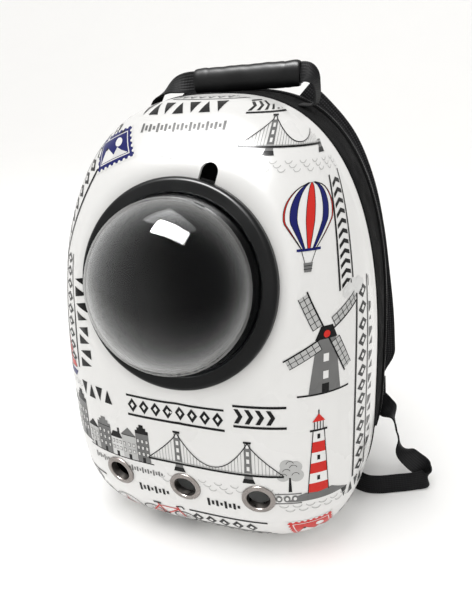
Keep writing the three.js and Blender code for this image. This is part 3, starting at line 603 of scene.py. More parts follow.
def drum(name, centre, x_way, y_way, z_way, shape, half):
    """A prism from a flat shape, as a tool to cut with."""
    ends = [[centre + u * x_way + v * y_way + w * z_way for u, v in shape] for w in (-half, half)]
    return loft(name, ends, INSIDE_BLACK)


def cut_by(obj, tools):
    for tool in tools:
        modifier = obj.modifiers.new("cut", "BOOLEAN")
        modifier.operation = "DIFFERENCE"
        modifier.solver = "EXACT"
        modifier.object = tool
        bpy.context.view_layer.objects.active = obj
        bpy.ops.object.modifier_apply(modifier=modifier.name)
        bpy.data.objects.remove(tool)


def notch_shape():
    """The finger notch, straight and with a round end."""
    along = NOTCH_REACH - NOTCH_HALF
    turns = np.linspace(-1.5708, 1.5708, 17)
    bend = [(along + NOTCH_HALF * math.cos(t), NOTCH_HALF * math.sin(t)) for t in turns]
    return [(SEAT_HOLE - NOTCH_HALF, -NOTCH_HALF), *bend, (SEAT_HOLE - NOTCH_HALF, NOTCH_HALF)]


def dress_shell(mesh):
    """Gives the outer skin its formula's normals, and the inside the dark material."""
    places = np.array([v.co[:] for v in mesh.vertices]) * 1000
    formula = skin_normal(places[:, 0], np.maximum(places[:, 2], 0.7))
    on_skin = np.abs(skin(places[:, 0], places[:, 2]) - places).max(1) < 0.15
    on_skin &= (places[:, 1] < RIM_Y - 1.5) & (places[:, 2] > 0.8)
    normals = np.zeros((len(mesh.loops), 3))
    for polygon in mesh.polygons:
        facing = np.array(polygon.normal[:])
        for loop in polygon.loop_indices:
            vertex = mesh.loops[loop].vertex_index
            if on_skin[vertex] and formula[vertex] @ facing > 0.8:
                normals[loop] = formula[vertex]
        middle = np.array(polygon.center[:]) * 1000
        front = skin(middle[0], middle[2])
        inside = middle[2] > 1 and front[1] + 2.2 < middle[1] < RIM_Y - 0.5
        polygon.material_index = 1 if inside and abs((front - middle) @ facing) > 1 else 0
    mesh.set_sharp_from_angle(angle=math.radians(28))
    mesh.normals_split_custom_set(normals.tolist())


def build_shell():
    angles, _ = outline_angles(SHELL_ANGLES)
    outer = shell_rows(angles, 0.0, SHELL_ROWS)
    inner = shell_rows(angles, WALL, LINING_ROWS)[:, ::-1]
    rows = np.concatenate([outer, inner], 1)
    obj = loft("shell_skin", rows, [SHELL_WHITE, INSIDE_BLACK], closed_rows=True)
    tools = [drum("notch_tool", CENTRE, NOTCH_ALONG, NOTCH_ACROSS, AXIS, notch_shape(), 9)]
    turns = np.arange(48) * math.pi / 24
    circle = [(EYELET_HOLE * math.cos(t), EYELET_HOLE * math.sin(t)) for t in turns]
    for centre, x_way, y_way, normal in EYELETS:
        tools.append(drum("eyelet_tool", centre, x_way, y_way, normal, circle, 12))
    cut_by(obj, tools)
    dress_shell(obj.data)
    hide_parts("front_shell")


# Print: a generic design in flat shapes, laid on the skin by its lengths up and across


PRINT_LIFT = 0.22
LAYER_LIFT = 0.1
PRINT_GRID = 5.0


def ellipse(x, y, rx, ry, start, end, steps):
    """Points of an ellipse between two angles in degrees."""
    turns = np.radians(np.linspace(start, end, steps + 1))
    return [(x + rx * math.cos(t), y + ry * math.sin(t)) for t in turns]


class Print:
    """Flat shapes in inks; a higher layer covers a lower one."""

    def __init__(self):
        self.shapes = []
        self.frame = Matrix.Identity(3)

    def at(self, u, v, scale=1.0, turn=0.0):
        """The place, scale and turn in degrees of the shapes that follow."""
        c, s = math.cos(math.radians(turn)) * scale, math.sin(math.radians(turn)) * scale
        self.frame = Matrix(((c, -s, u), (s, c, v), (0, 0, 1)))

    def poly(self, ink, points, layer=0):
        placed = [self.frame @ Vector((x, y, 1)) for x, y in points]
        self.shapes.append((ink, layer, [(point.x, point.y) for point in placed]))

    def bar(self, ink, x0, y0, x1, y1, layer=0):
        self.poly(ink, [(x0, y0), (x1, y0), (x1, y1), (x0, y1)], layer)

    def disc(self, ink, x, y, rx, ry=None, layer=0, start=0, end=360, steps=28):
        points = ellipse(x, y, rx, ry or rx, start, end, steps)
        self.poly(ink, points[:-1] if end - start >= 360 else points, layer)

    def stroke(self, ink, points, width=1.0, layer=0):
        """A line through points, each leg a little longer than it has to be."""
        for (x0, y0), (x1, y1) in zip(points, points[1:]):
            length = math.hypot(x1 - x0, y1 - y0) or 1
            nx, ny = -(y1 - y0) / length * width / 2, (x1 - x0) / length * width / 2
            ex, ey = (x1 - x0) / length * width * 0.2, (y1 - y0) / length * width * 0.2
            start = [(x0 + nx - ex, y0 + ny - ey), (x0 - nx - ex, y0 - ny - ey)]
            end = [(x1 - nx + ex, y1 - ny + ey), (x1 + nx + ex, y1 + ny + ey)]
            self.poly(ink, start + end, layer)

    def hoop(self, ink, x, y, radius, width=1.0, layer=0, start=0, end=360, steps=28):
        self.stroke(ink, ellipse(x, y, radius, radius, start, end, steps), width, layer)

    def waves(self, x, y, rows, count, pitch, shift, radius, width=0.7):
        """Rows of small arcs, as on water."""
        for row in range(rows):
            for k in range(count):
                self.hoop("silver", x + k * pitch + row * shift, y - row * 4, radius, width, 0, 200, 340, 8)


HOUSES = (
    (18, 30, "silver", "black"),
    (22, 38, "grey", "grey"),
    (16, 27, "pale", "black"),
    (20, 34, "silver", "grey"),
    (18, 41, "grey", "black"),
    (23, 30, "pale", "silver"),
)


def townhouse(p, x, width, height, wall, roof, kind):
    """A narrow house: a pointed roof for kind 0, a stepped gable for 1, a chimney on a flat top for 2."""
    p.bar(wall, x, 0, x + width, height)
    eaves = [(x - 1, height), (x + width + 1, height)]
    if kind == 0:
        p.poly(roof, [*eaves, (x + width / 2, height + width * 0.55)])
    elif kind == 1:
        steps = [(x, height)]
        for k in range(3):
            level = height + 4 * (k + 1)
            steps += [(x + k * width / 6, level), (x + (k + 1) * width / 6, level)]
        steps += [(2 * x + width - px, py) for px, py in reversed(steps)]
        p.poly(roof, steps)
    else:
        p.poly(roof, [*eaves, (x + width - 3, height + 8), (x + 3, height + 8)])
        p.bar("black", x + width * 0.65, height + 6, x + width * 0.65 + 3, height + 14)
    columns = 3
    for row in range(int(height // 9) - 1):
        for column in range(columns):
            wx = x + width / columns * (column + 0.5)
            wy = 12 + row * 9
            p.bar("black", wx - 1.7, wy - 2.6, wx + 1.7, wy + 2.6, 1)
            p.bar("white", wx - 1.2, wy - 2.1, wx - 0.15, wy + 2.1, 2)
            p.bar("white", wx + 0.15, wy - 2.1, wx + 1.2, wy + 2.1, 2)
    p.bar("black", x + width / 2 - 2, 0, x + width / 2 + 2, 7, 1)
    p.bar("black", x, height - 0.6, x + width, height + 0.4, 1)


def house_row(p, u, v, scale=1.0, turn=0, count=5):
    p.at(u, v, scale, turn)
    x = 0
    for k in range(count):
        width, height, wall, roof = HOUSES[k % len(HOUSES)]
        townhouse(p, x, width, height, wall, roof, k % 3)
        x += width + 0.6
    p.bar("black", -3, -1.4, x + 3, 0)


def bridge(p, u, v, scale=1.0, turn=0):
    p.at(u, v, scale, turn)
    for tower in (-34, 34):
        p.poly("grey", [(tower - 4, -4), (tower + 4, -4), (tower + 2.6, 36), (tower - 2.6, 36)])
        for y in (6, 14, 22, 30):
            p.bar("white", tower - 1.3, y, tower + 1.3, y + 4.5, 1)
        p.bar("black", tower - 3.6, 35, tower + 3.6, 37, 1)
        p.poly("black", [(tower - 6, -8), (tower + 6, -8), (tower + 4.5, -3), (tower - 4.5, -3)], 1)
    p.bar("black", -66, 0, 66, 2.2, 1)
    p.bar("silver", -66, 2.6, 66, 3.4, 1)
    cable = [(x, 5 + 30 * (x / 34) ** 2) for x in np.linspace(-34, 34, 23)]
    p.stroke("black", cable, 0.9, 2)
    for way in (-1, 1):
        side = [(way * (34 + s * 32), 35 - 33 * s ** 0.8) for s in np.linspace(0, 1, 11)]
        p.stroke("black", side, 0.9, 2)
        for x, y in side[1:-1]:
            p.stroke("grey", [(x, 2), (x, y)], 0.4, 1)
    for x, y in cable[1:-1]:
        p.stroke("grey", [(x, 2), (x, y)], 0.4, 1)
    p.waves(-60, -12, 3, 8, 16, 5, 4)


def lighthouse(p, u, v, scale=1.0):
    p.at(u, v, scale)
    for k in range(6):
        a, b = 7.5 - k * 0.6, 7.5 - (k + 1) * 0.6
        p.poly("red" if k % 2 == 0 else "white", [(-a, k * 8), (a, k * 8), (b, k * 8 + 8), (-b, k * 8 + 8)])
    for way in (-1, 1):
        p.stroke("black", [(way * 7.5, 0), (way * 3.9, 48)], 0.6, 1)
    p.bar("black", -6, 48, 6, 49.5, 1)
    p.bar("pale", -3, 49.5, 3, 55)
    for x in (-3, -1, 1, 3):
        p.bar("black", x - 0.3, 49.5, x + 0.3, 55, 1)
    p.poly("red", [(-4.5, 55), (4.5, 55), (0, 61)], 1)
    p.bar("black", -0.4, 60, 0.4, 64, 1)
    for y in (12, 28, 44):
        p.bar("black", -1, y - 1.8, 1, y + 1.8, 1)
    p.poly("grey", [(-22, -6), (-15, -1), (-9, 1), (0, 0), (10, 1.5), (16, -2), (24, -6)])
    p.waves(-24, -8, 2, 6, 9, 4, 3.2)


def balloon(p, u, v, scale=1.0):
    p.at(u, v, scale)
    stripes = ["red", "white", "navy", "white", "red", "white", "navy", "white", "red"]
    turns = np.linspace(-1, 1, len(stripes) + 1)

    def edge(s, y):
        wide = 22 * math.sqrt(max(0, 1 - ((y - 40) / 22) ** 2)) if y > 34 else 21.2 - (34 - y) * 0.75
        return s * max(wide, 3.0)

    heights = [14 + k * 2.4 for k in range(21)]
    for k, ink in enumerate(stripes):
        a, b = math.sin(turns[k] * 1.5708), math.sin(turns[k + 1] * 1.5708)
        p.poly(ink, [(edge(a, y), y) for y in heights] + [(edge(b, y), y) for y in reversed(heights)])
    for s in turns:
        p.stroke("black", [(edge(math.sin(s * 1.5708), y), y) for y in heights], 0.5, 1)
    p.bar("navy", -10, 12.6, 10, 14.6, 1)
    for x in (-3, 3):
        p.stroke("black", [(x * 2, 13), (x, 4)], 0.5, 1)
    p.poly("grey", [(-4, 4), (4, 4), (3, -3), (-3, -3)], 1)
    for y in (-1, 1.5):
        p.bar("black", -3.6, y, 3.6, y + 0.5, 2)


def windmill(p, u, v, scale=1.0):
    p.at(u, v, scale)
    p.poly("grey", [(-11, 0), (11, 0), (6.5, 34), (-6.5, 34)])
    p.poly("black", [(-7.5, 34), (7.5, 34), (4, 42), (-4, 42)])
    for y in (9, 20):
        p.bar("white", -1.8, y, 1.8, y + 5, 1)
    p.bar("black", -2.4, 0, 2.4, 6, 1)
    for k in range(4):
        t = math.radians(28 + 90 * k)

        def spot(a, b, c=math.cos(t), s=math.sin(t)):
            return a * c - b * s, 37 + a * s + b * c

        p.stroke("black", [spot(0, 0), spot(30, 0)], 1, 2)
        p.poly("silver", [spot(7, 0.5), spot(29, 0.5), spot(29, 6.5), spot(7, 6.5)], 1)
        for a in range(7, 30, 4):
            p.stroke("black", [spot(a, 0), spot(a, 6.5)], 0.4, 2)
        p.stroke("black", [spot(7, 3.4), spot(29, 3.4)], 0.4, 2)
        p.stroke("black", [spot(7, 6.5), spot(29, 6.5)], 0.5, 2)
    p.disc("red", 0, 37, 2.2, layer=3)
    p.bar("black", -18, -1, 18, 0.2)


def bicycle(p, u, v, scale=1.0, ink="black"):
    p.at(u, v, scale)
    for x in (-14, 14):
        p.hoop(ink, x, 9, 9, 1.3)
        for k in range(8):
            t = math.pi * k / 8
            dx, dy = 9 * math.cos(t), 9 * math.sin(t)
            p.stroke("grey", [(x - dx, 9 - dy), (x + dx, 9 + dy)], 0.35)
    for line in (
        [(-14, 9), (-2, 8), (11, 21), (-6, 21), (-14, 9)],
        [(-2, 8), (-7, 24)],
        [(14, 9), (10, 25)],
    ):
        p.stroke("red", line, 1.3, 1)
    p.stroke(ink, [(-10, 24.5), (-4, 24.5)], 2.2, 2)
    p.stroke(ink, [(10, 25), (15, 26), (16, 23)], 1.4, 2)
    p.disc(ink, -2, 8, 2.4, layer=2)


def sailboat(p, u, v, scale=1.0, sail="red"):
    p.at(u, v, scale)
    p.poly("navy", [(-17, 4), (18, 4), (12, -4), (-12, -4)])
    p.bar("black", -0.6, 4, 0.6, 42, 1)
    p.poly(sail, [(1.6, 7), (1.6, 41), (17, 8)])
    p.poly("pale", [(-1.6, 7), (-1.6, 34), (-14, 9)])
    for y in (15, 23, 31):
        p.stroke("white", [(1.6, y), (1.6 + (41 - y) * 0.45, y)], 0.7, 1)
    p.stroke("black", [(1.6, 7), (17, 8), (1.6, 41)], 0.5, 2)
    p.waves(-18, -6, 2, 5, 9, 4, 3.4, 0.8)


def tree(p, u, v, scale=1.0, ink="grey"):
    p.at(u, v, scale)
    p.poly("black", [(-1.6, 0), (1.6, 0), (0.8, 16), (-0.8, 16)])
    for x, y, r in ((0, 24, 9), (-6, 18, 6), (6, 18, 6.5), (-3, 29, 6), (5, 27, 6)):
        p.disc(ink, x, y, r, steps=18)
    for x, y in ((-3, 22), (3, 26), (5, 18), (-6, 17), (0, 30)):
        p.hoop("black", x, y, 3.4, 0.5, 1, 20, 170, 8)


def cloud(p, u, v, scale=1.0, ink="pale"):
    p.at(u, v, scale)
    for x, r in ((-13, 5), (-5, 8), (5, 7), (13, 4.5)):
        p.disc(ink, x, r * 0.6, r, layer=0, steps=20)
    p.bar(ink, -15, -1.6, 15, 3)


def compass(p, u, v, scale=1.0):
    p.at(u, v, scale)
    p.hoop("black", 0, 0, 17, 0.8)
    p.hoop("grey", 0, 0, 14.5, 0.5)
    for k in range(8):
        t = math.pi / 4 * k
        long = 16 if k % 2 == 0 else 10
        tip = (long * math.sin(t), long * math.cos(t))
        for way, ink in ((-1, "black" if k % 2 == 0 else "grey"), (1, "pale" if k % 2 else "red")):
            s = t + way * math.pi / 8
            p.poly(ink, [(0, 0), tip, (3.6 * math.sin(s), 3.6 * math.cos(s))], 1)
    for k in range(32):
        t = math.pi / 16 * k
        p.stroke("black", [(r * math.sin(t), r * math.cos(t)) for r in (14.5, 16.6)], 0.4)


def stamp(p, u, v, scale, ink, turn=0):
    """A postage stamp with a scalloped edge, hills and a sun."""
    p.at(u, v, scale, turn)
    p.bar(ink, -24, -17, 24, 17)
    for k in range(9):
        for y in (-17, 17):
            p.disc("white", -24 + k * 6, y, 1.7, layer=1, steps=12)
    for k in range(7):
        for x in (-24, 24):
            p.disc("white", x, -17 + k * 5.67, 1.7, layer=1, steps=12)
    p.bar("white", -19.5, -12.5, 19.5, 12.5, 1)
    p.bar(ink, -18.5, -11.5, 18.5, 11.5, 2)
    p.disc("white", 8, 4, 4.6, layer=3)
    p.poly("white", [(-18, -11), (-9, 4), (-3, -3), (3, -11)], 3)
    p.poly("pale", [(-3, -11), (6, -1), (11, -6), (18, -11)], 4)
    p.poly("black", [(-11.4, 0.0), (-9, 4), (-7, 1.6), (-9, 0.4)], 4)


ORNAMENT_PITCH = {"diamonds": 0.8, "chevrons": 0.62, "bars": 0.42, "beads": 0.9, "triangles": 0.72}


def ornament(p, u, v, length, height, kind, turn=0, ink="black"):
    """A band of one kind of ornament, most of them between two lines."""
    p.at(u, v, 1, turn)
    pitch = height * ORNAMENT_PITCH[kind]
    h, w = height / 2, pitch * 0.42
    for k in range(int(length / pitch)):
        x = (k + 0.5) * pitch
        if kind == "diamonds":
            p.poly(ink, [(x - w, h), (x, 0), (x + w, h), (x, height)])
            p.poly("white", [(x - w * 0.4, h), (x, h * 0.6), (x + w * 0.4, h), (x, h * 1.4)], 1)
        elif kind == "chevrons":
            p.poly(ink, [(x - w, 0), (x, 0), (x + w, h), (x, height), (x - w, height), (x, h)])
        elif kind == "bars":
            tall = height * (1, 0.55, 0.8, 0.4)[k % 4]
            p.bar(ink, x - w * 0.7, h - tall / 2, x + w * 0.7, h + tall / 2)
        elif kind == "beads":
            p.disc(ink, x, h, w, h, steps=20)
            p.disc("white", x, h, w * 0.5, h * 0.5, 1, steps=16)
        elif k % 2:
            p.poly(ink, [(x - w, 0), (x + w, 0), (x, height)])
        else:
            p.poly(ink, [(x - w, height), (x, 0), (x + w, height)])
    if kind in ("diamonds", "chevrons", "beads"):
        p.bar(ink, 0, -height * 0.28, length, -height * 0.12)
        p.bar(ink, 0, height * 1.12, length, height * 1.28)


def draw_print(p):
    # Between the window and the eyelets, left to right
    house_row(p, -206, 126, 1.0, 0, 5)
    house_row(p, -108, 122, 0.78, 0, 5)
    ornament(p, -112, 178, 52, 15, "triangles")
    ornament(p, -52, 176, 96, 15, "diamonds")
    bridge(p, 30, 128, 0.98)
    ornament(p, -104, 108, 84, 7, "bars", 0, "grey")
    ornament(p, 52, 182, 46, 15, "chevrons")
    lighthouse(p, 126, 108, 1.35)
    ornament(p, 86, 100, 24, 8, "beads", 0, "grey")
    tree(p, 100, 112, 1.0, "silver")
    # Round and below the eyelets
    ornament(p, -200, 66, 104, 17, "chevrons")
    ornament(p, -52, 84, 34, 10, "bars")
    ornament(p, 20, 84, 34, 10, "bars")
    cloud(p, -168, 98, 1.2)
    bicycle(p, -28, 38, 1.25)
    ornament(p, -2, 48, 78, 17, "diamonds")
    stamp(p, 118, 56, 0.95, "red", 4)
    ornament(p, 2, 30, 82, 10, "triangles", 0, "grey")
    compass(p, -76, 50, 0.95)
    tree(p, -108, 22, 1.2, "grey")
    tree(p, -132, 18, 1.0, "silver")
    house_row(p, -64, 6, 0.55, 0, 6)
    ornament(p, 150, 86, 50, 14, "triangles")
    house_row(p, 152, 26, 0.8, 0, 3)
    # Right of the window
    windmill(p, 132, 210, 1.4)
    ornament(p, 190, 104, 190, 18, "diamonds", 90)
    ornament(p, 214, 120, 210, 16, "triangles", 90)
    ornament(p, 160, 296, 92, 13, "chevrons", 97)
    balloon(p, 112, 318, 1.05)
    cloud(p, 166, 288, 1.0)
    # Above the window
    bridge(p, 100, 412, 0.82, -3)
    ornament(p, 46, 450, 62, 12, "chevrons", -2)
    ornament(p, -58, 446, 92, 17, "triangles", 3)
    ornament(p, -46, 428, 80, 9, "bars", 2, "grey")
    cloud(p, -4, 408, 1.2)
    ornament(p, -34, 474, 130, 11, "diamonds", 0, "grey")
    stamp(p, -72, 412, 0.9, "navy", 24)
    # Left of the window
    ornament(p, -84, 440, 150, 17, "diamonds", 241)
    ornament(p, -106, 446, 150, 13, "triangles", 243, "grey")
    ornament(p, -104, 300, 100, 16, "triangles", 268)
    ornament(p, -128, 316, 110, 15, "diamonds", 268)
    windmill(p, -176, 236, 1.1)
    balloon(p, -166, 340, 1.0)
    sailboat(p, -134, 196, 0.9)
    ornament(p, -206, 400, 180, 13, "bars", 268, "grey")


def length_maps():
    """How high a length up the middle line lies, and how far out a length across lies at each height."""
    heights = np.concatenate([np.linspace(0, 400, 401), np.linspace(401, SHELL_HEIGHT - 0.4, 60)])
    middle = skin(np.zeros_like(heights), heights)
    up = np.concatenate([[0], np.cumsum(np.linalg.norm(np.diff(middle, axis=0), axis=1))])
    across = []
    spread = np.linspace(0, 1, 240) ** 0.7
    for z in heights:
        share = (z - WIDEST) / ((SHELL_HEIGHT - WIDEST) if z >= WIDEST else -(WIDEST + BASE_CUT))
        power = TOP_SQUARE if z >= WIDEST else LOW_SQUARE
        widest = SHELL_HALF * max(0.0, 1 - share**power) ** (1 / power) - 0.3
        xs = np.maximum(0, widest) * spread
        line = skin(xs, np.full_like(xs, z))
        across.append((np.concatenate([[0], np.cumsum(np.linalg.norm(np.diff(line, axis=0), axis=1))]), xs))
    return heights, up, across


def flat_print(shapes):
    """The shapes as one flat mesh, cut by a grid so that it can bend: its places, polygons and inks."""
    names = list(INKS)
    bm = bmesh.new()
    for order, (ink, layer, points) in enumerate(shapes):
        lift = PRINT_LIFT + layer * LAYER_LIFT + (order % 5) * 0.012
        face = bm.faces.new([bm.verts.new((x, y, lift)) for x, y in points])
        face.normal_update()
        if face.normal.z < 0:
            face.normal_flip()
        face.material_index = names.index(ink)
    bmesh.ops.triangulate(bm, faces=bm.faces[:])
    for way, low, high in ((Vector((1, 0, 0)), -235, 235), (Vector((0, 1, 0)), 0, 520)):
        for place in np.arange(low, high + 0.1, PRINT_GRID):
            everything = bm.verts[:] + bm.edges[:] + bm.faces[:]
            bmesh.ops.bisect_plane(bm, geom=everything, plane_co=way * place, plane_no=way)
    bm.verts.index_update()
    places = np.array([v.co[:] for v in bm.verts])
    polygons = [tuple(v.index for v in f.verts) for f in bm.faces]
    inks = [f.material_index for f in bm.faces]
    bm.free()
    return places, polygons, inks


def over_opening(surface):
    """Which points of the skin lie under the window, or over its notch or an eyelet."""
    offset = surface - CENTRE
    height = offset @ AXIS
    radius = np.sqrt(np.maximum(0, (offset**2).sum(1) - height**2))
    covered = (radius < RING - 1.5) & (height > -20)
    along = offset @ NOTCH_ALONG
    in_notch = (along > 0) & (along < NOTCH_REACH + 2) & (np.abs(offset @ NOTCH_ACROSS) < NOTCH_HALF + 2)
    covered |= in_notch & (height > -30)
    for centre, _, _, _ in EYELETS:
        covered |= np.linalg.norm(surface - centre, axis=1) <= EYELET_HOLE + 1.2
    return covered


def build_print():
    p = Print()
    draw_print(p)
    flat, polygons, inks = flat_print(p.shapes)
    heights, up, across = length_maps()
    clear = (flat[:, 1] > 4) & (flat[:, 1] < up[-1] - 6)
    z = np.interp(flat[:, 1], up, heights)
    row = np.clip(np.searchsorted(heights, z) - 1, 0, len(heights) - 2)
    part = (z - heights[row]) / (heights[row + 1] - heights[row])
    x = np.zeros(len(flat))
    for at, place in enumerate(flat[:, 0]):
        low, high = across[row[at]], across[row[at] + 1]
        if abs(place) > min(low[0][-1], high[0][-1]) - 2:
            clear[at] = False
            continue
        a, b = np.interp(abs(place), *low), np.interp(abs(place), *high)
        x[at] = math.copysign(a + (b - a) * part[at], place)
    surface = skin(x, z)
    normal = skin_normal(x, z)
    clear &= ~over_opening(surface)
    points = surface + normal * flat[:, 2:3]
    kept = [at for at, polygon in enumerate(polygons) if all(clear[v] for v in polygon)]
    obj = mesh_object("shell_print", points, [polygons[at] for at in kept], list(INKS.values()))
    for polygon, at in zip(obj.data.polygons, kept):
        polygon.material_index = inks[at]
    loops = np.array([loop.vertex_index for loop in obj.data.loops])
    obj.data.normals_split_custom_set(normal[loops].tolist())


# Window


def dome_profile(inset, steps=40):
    """The dome's full round form from its crown to its straight skirt, as in the part."""
    turns = np.linspace(0, math.pi / 2, steps + 1)[:-1]
    power = 2 / DOME_FULLNESS
    radius, height = DOME_RADIUS - inset, DOME_HEIGHT - inset
    points = [[radius * math.sin(t) ** power, height * math.cos(t) ** power] for t in turns]
    points[0][0] = 0.0
    return [*points, [radius, 0.0], [radius, -DOME_SKIRT]]


def repaint(node, material):
    """Gives a CAD node that stays in view a new material."""
    materials = frame["nodes"][node].data.materials
    materials.clear()
    materials.append(material)


def build_window():
    profile = [
        [SLEEVE, GAP],
        [RING - 0.9, GAP],
        *arc(RING - 0.8, GAP + 0.8, 0.8, -90, 0, 4),
        *arc(RING - 4, 5.5, 4, 0, 90, 12),
        *arc(RING_BORE + 2.2, RING_HEIGHT - 2.2, 2.2, 90, 180, 8),
        [RING_BORE, SLEEVE_END],
        [SLEEVE, SLEEVE_END],
    ]
    ring = lathe("ring_body", profile, RING_PLASTIC)
    lugs = []
    for k in range(LUG_COUNT):
        turns = np.radians(np.linspace(-LUG_HALF_TURN, LUG_HALF_TURN, 9)) + k * 2 * math.pi / LUG_COUNT
        rows = []
        for t in turns:
            way = math.cos(t) * RIGHT + math.sin(t) * UP
            rows.append([CENTRE + way * r + AXIS * h for r, h in LUG_SECTION])
        lugs.append(loft(f"ring_lug_{k}", rows, RING_PLASTIC, "window", crease=30))
    ring = joined("window_ring_turned", [ring, *lugs])
    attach(ring, "window")
    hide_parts("window_ring")
    walls = dome_profile(0) + dome_profile(DOME_WALL)[::-1]
    dome = lathe("window_dome_clear", walls, DOME_CLEAR, crease=60)
    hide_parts("window_dome")
    repaint("window_collar", RING_PLASTIC)


def build_eyelets():
    bore, outer = EYELET_BORE, EYELET_RADIUS
    barrel = bore + 1.2
    profile = [
        [barrel, 0.02],
        [outer, 0.02],
        *arc(outer - 0.7, 0.7, 0.7, -30, 75, 6),
        [outer - 2.2, 1.75],
        [bore + 1.6, 1.9],
        *arc(bore + 1.1, 0.8, 1.1, 90, 180, 7),
        [bore, EYELET_END],
        [bore + 3.3, EYELET_END],
        [bore + 3.3, -5.5],
        [barrel, -5.5],
    ]
    for name, axes in zip(("left", "middle", "right"), EYELETS):
        obj = lathe(f"eyelet_{name}_turned", profile, EYELET_METAL, "carrier", 64, 40, axes)
        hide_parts(f"eyelet_{name}")


# Cloth round the outline


def wrinkle(length, across, seed):
    """Soft cloth folds, in millimetres, from a few crossing waves."""
    rng = random.Random(seed)
    total = 0.0
    for k in range(7):
        a, b = rng.uniform(0.012, 0.07), rng.uniform(-0.09, 0.09)
        total = total + math.pow(0.82, k) * np.sin(a * length * 2 + b * across * 2 + rng.uniform(0, 6.28))
    return total / 3


def corner_bulge(angle):
    """One at the outline's two upper corners, falling away on both sides."""
    turn = math.degrees(angle)
    return sum(math.exp(-(((turn - corner) / 12) ** 2)) for corner in (47, 133))


def build_gusset():
    angles, total = outline_angles(GUSSET_ANGLES)
    depth = GUSSET_BACK - GUSSET_FRONT
    shares = np.linspace(0, 1, 17)
    rows = []
    seam = GUSSET_BACK - 15 - GUSSET_FRONT
    for at, angle in enumerate(angles):
        line = []
        bulge = corner_bulge(angle)
        for share in shares:
            y = share * depth
            soft = math.sin(math.pi * min(1, y / seam)) ** 0.6 if y < seam else 0.0
            fold = wrinkle(at / GUSSET_ANGLES * total, y, 3)
            out = soft * (0.5 + fold * 0.9 + bulge * (1.2 + fold * 1.6))
            if math.sin(angle) < -0.9:
                out *= 0.15
            x, z = outline(angle, GUSSET_INSET - out, 0)
            line.append((float(x), GUSSET_FRONT + y, float(z)))
        x, z = outline(angle, GUSSET_INSET + 2, 2)
        line += [(float(x), GUSSET_FRONT + share * depth, float(z)) for share in shares[::-4]]
        rows.append(line)
    obj = loft("gusset_cloth", rows, GUSSET_CLOTH, closed_rows=True, crease=50)
    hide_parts("gusset")


def build_piping():
    angles, _ = outline_angles(PIPING_ANGLES)
    rows = []
    for angle in angles:
        ring = []
        for t in np.arange(12) * math.pi / 6:
            inset = GUSSET_INSET - PIPING_RADIUS * math.cos(t)
            x, z = outline(angle, inset, inset - GUSSET_INSET + PIPING_RADIUS)
            ring.append((float(x), PIPING_Y + PIPING_RADIUS * math.sin(t), float(z)))
        rows.append(ring)
    obj = loft("rim_piping_cord", rows, PIPING_CLOTH, closed_rows=True)
    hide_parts("rim_piping")


ZIP_Y = GUSSET_BACK - ZIP_MARGIN - ZIP_HALF
ZIP_FOOT = 55.0
TAPE_SECTION = (
    (-ZIP_HALF, 1.1), (ZIP_HALF, 1.1), (ZIP_HALF, 0.6), (1.6, 0.35), (-1.6, 0.35), (-ZIP_HALF, 0.6),
)
CUBE = ((0, 1, 2, 3), (7, 6, 5, 4), (0, 4, 5, 1), (1, 5, 6, 2), (2, 6, 7, 3), (3, 7, 4, 0))


def build_zip_teeth(angles, pitch):
    """Two rows of teeth that stand alternately on the tape."""
    points, faces = [], []
    for at in range(len(angles) * 2 - 2):
        angle = angles[at // 2] if at % 2 == 0 else (angles[at // 2] + angles[at // 2 + 1]) / 2
        side = 1 if at % 2 else -1
        half = 0.42 * pitch / 2
        (x0, z0), (x1, z1) = outline(angle), outline(angle + 1e-3)
        along = unit([float(x1 - x0), 0.0, float(z1 - z0)])
        base = len(points)
        for inset in (0.5, -0.55):
            x, z = outline(angle, inset)
            for a, b in ((-1, -1), (1, -1), (1, 1), (-1, 1)):
                y = ZIP_Y + side * 0.35 + b * 1.25
                points.append(np.array([float(x), y, float(z)]) + along * a * half)
        faces += [tuple(base + c for c in face) for face in CUBE]
    teeth = mesh_object("zip_teeth", points, faces, ZIP_PLASTIC, flat=True)
    face_outwards(teeth.data)


def build_zip():
    angles, total = outline_angles(ZIP_ANGLES)
    kept = sorted(angle for angle in angles if outline(angle)[1] > ZIP_FOOT)
    rows = []
    for angle in kept:
        places = [(y, outline(angle, inset)) for y, inset in TAPE_SECTION]
        rows.append([(float(x), ZIP_Y + y, float(z)) for y, (x, z) in places])
    tape = loft("zip_tape", rows, PIPING_CLOTH, crease=60)
    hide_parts("zipper_chain")
    build_zip_teeth(kept, total / ZIP_ANGLES)
    repaint("zipper_slider_upper", SLIDER_METAL)
    repaint("zipper_slider_lower", SLIDER_METAL)


PANEL_MIDDLE = 205.0
PANEL_EDGE = 5.5
PANEL_PUFF = 4.3
QUILT_PITCH = 62.0
PAD_CORNER = 30.0
CHANNEL_X = 30.0
CHANNEL_PITCH = 52.0


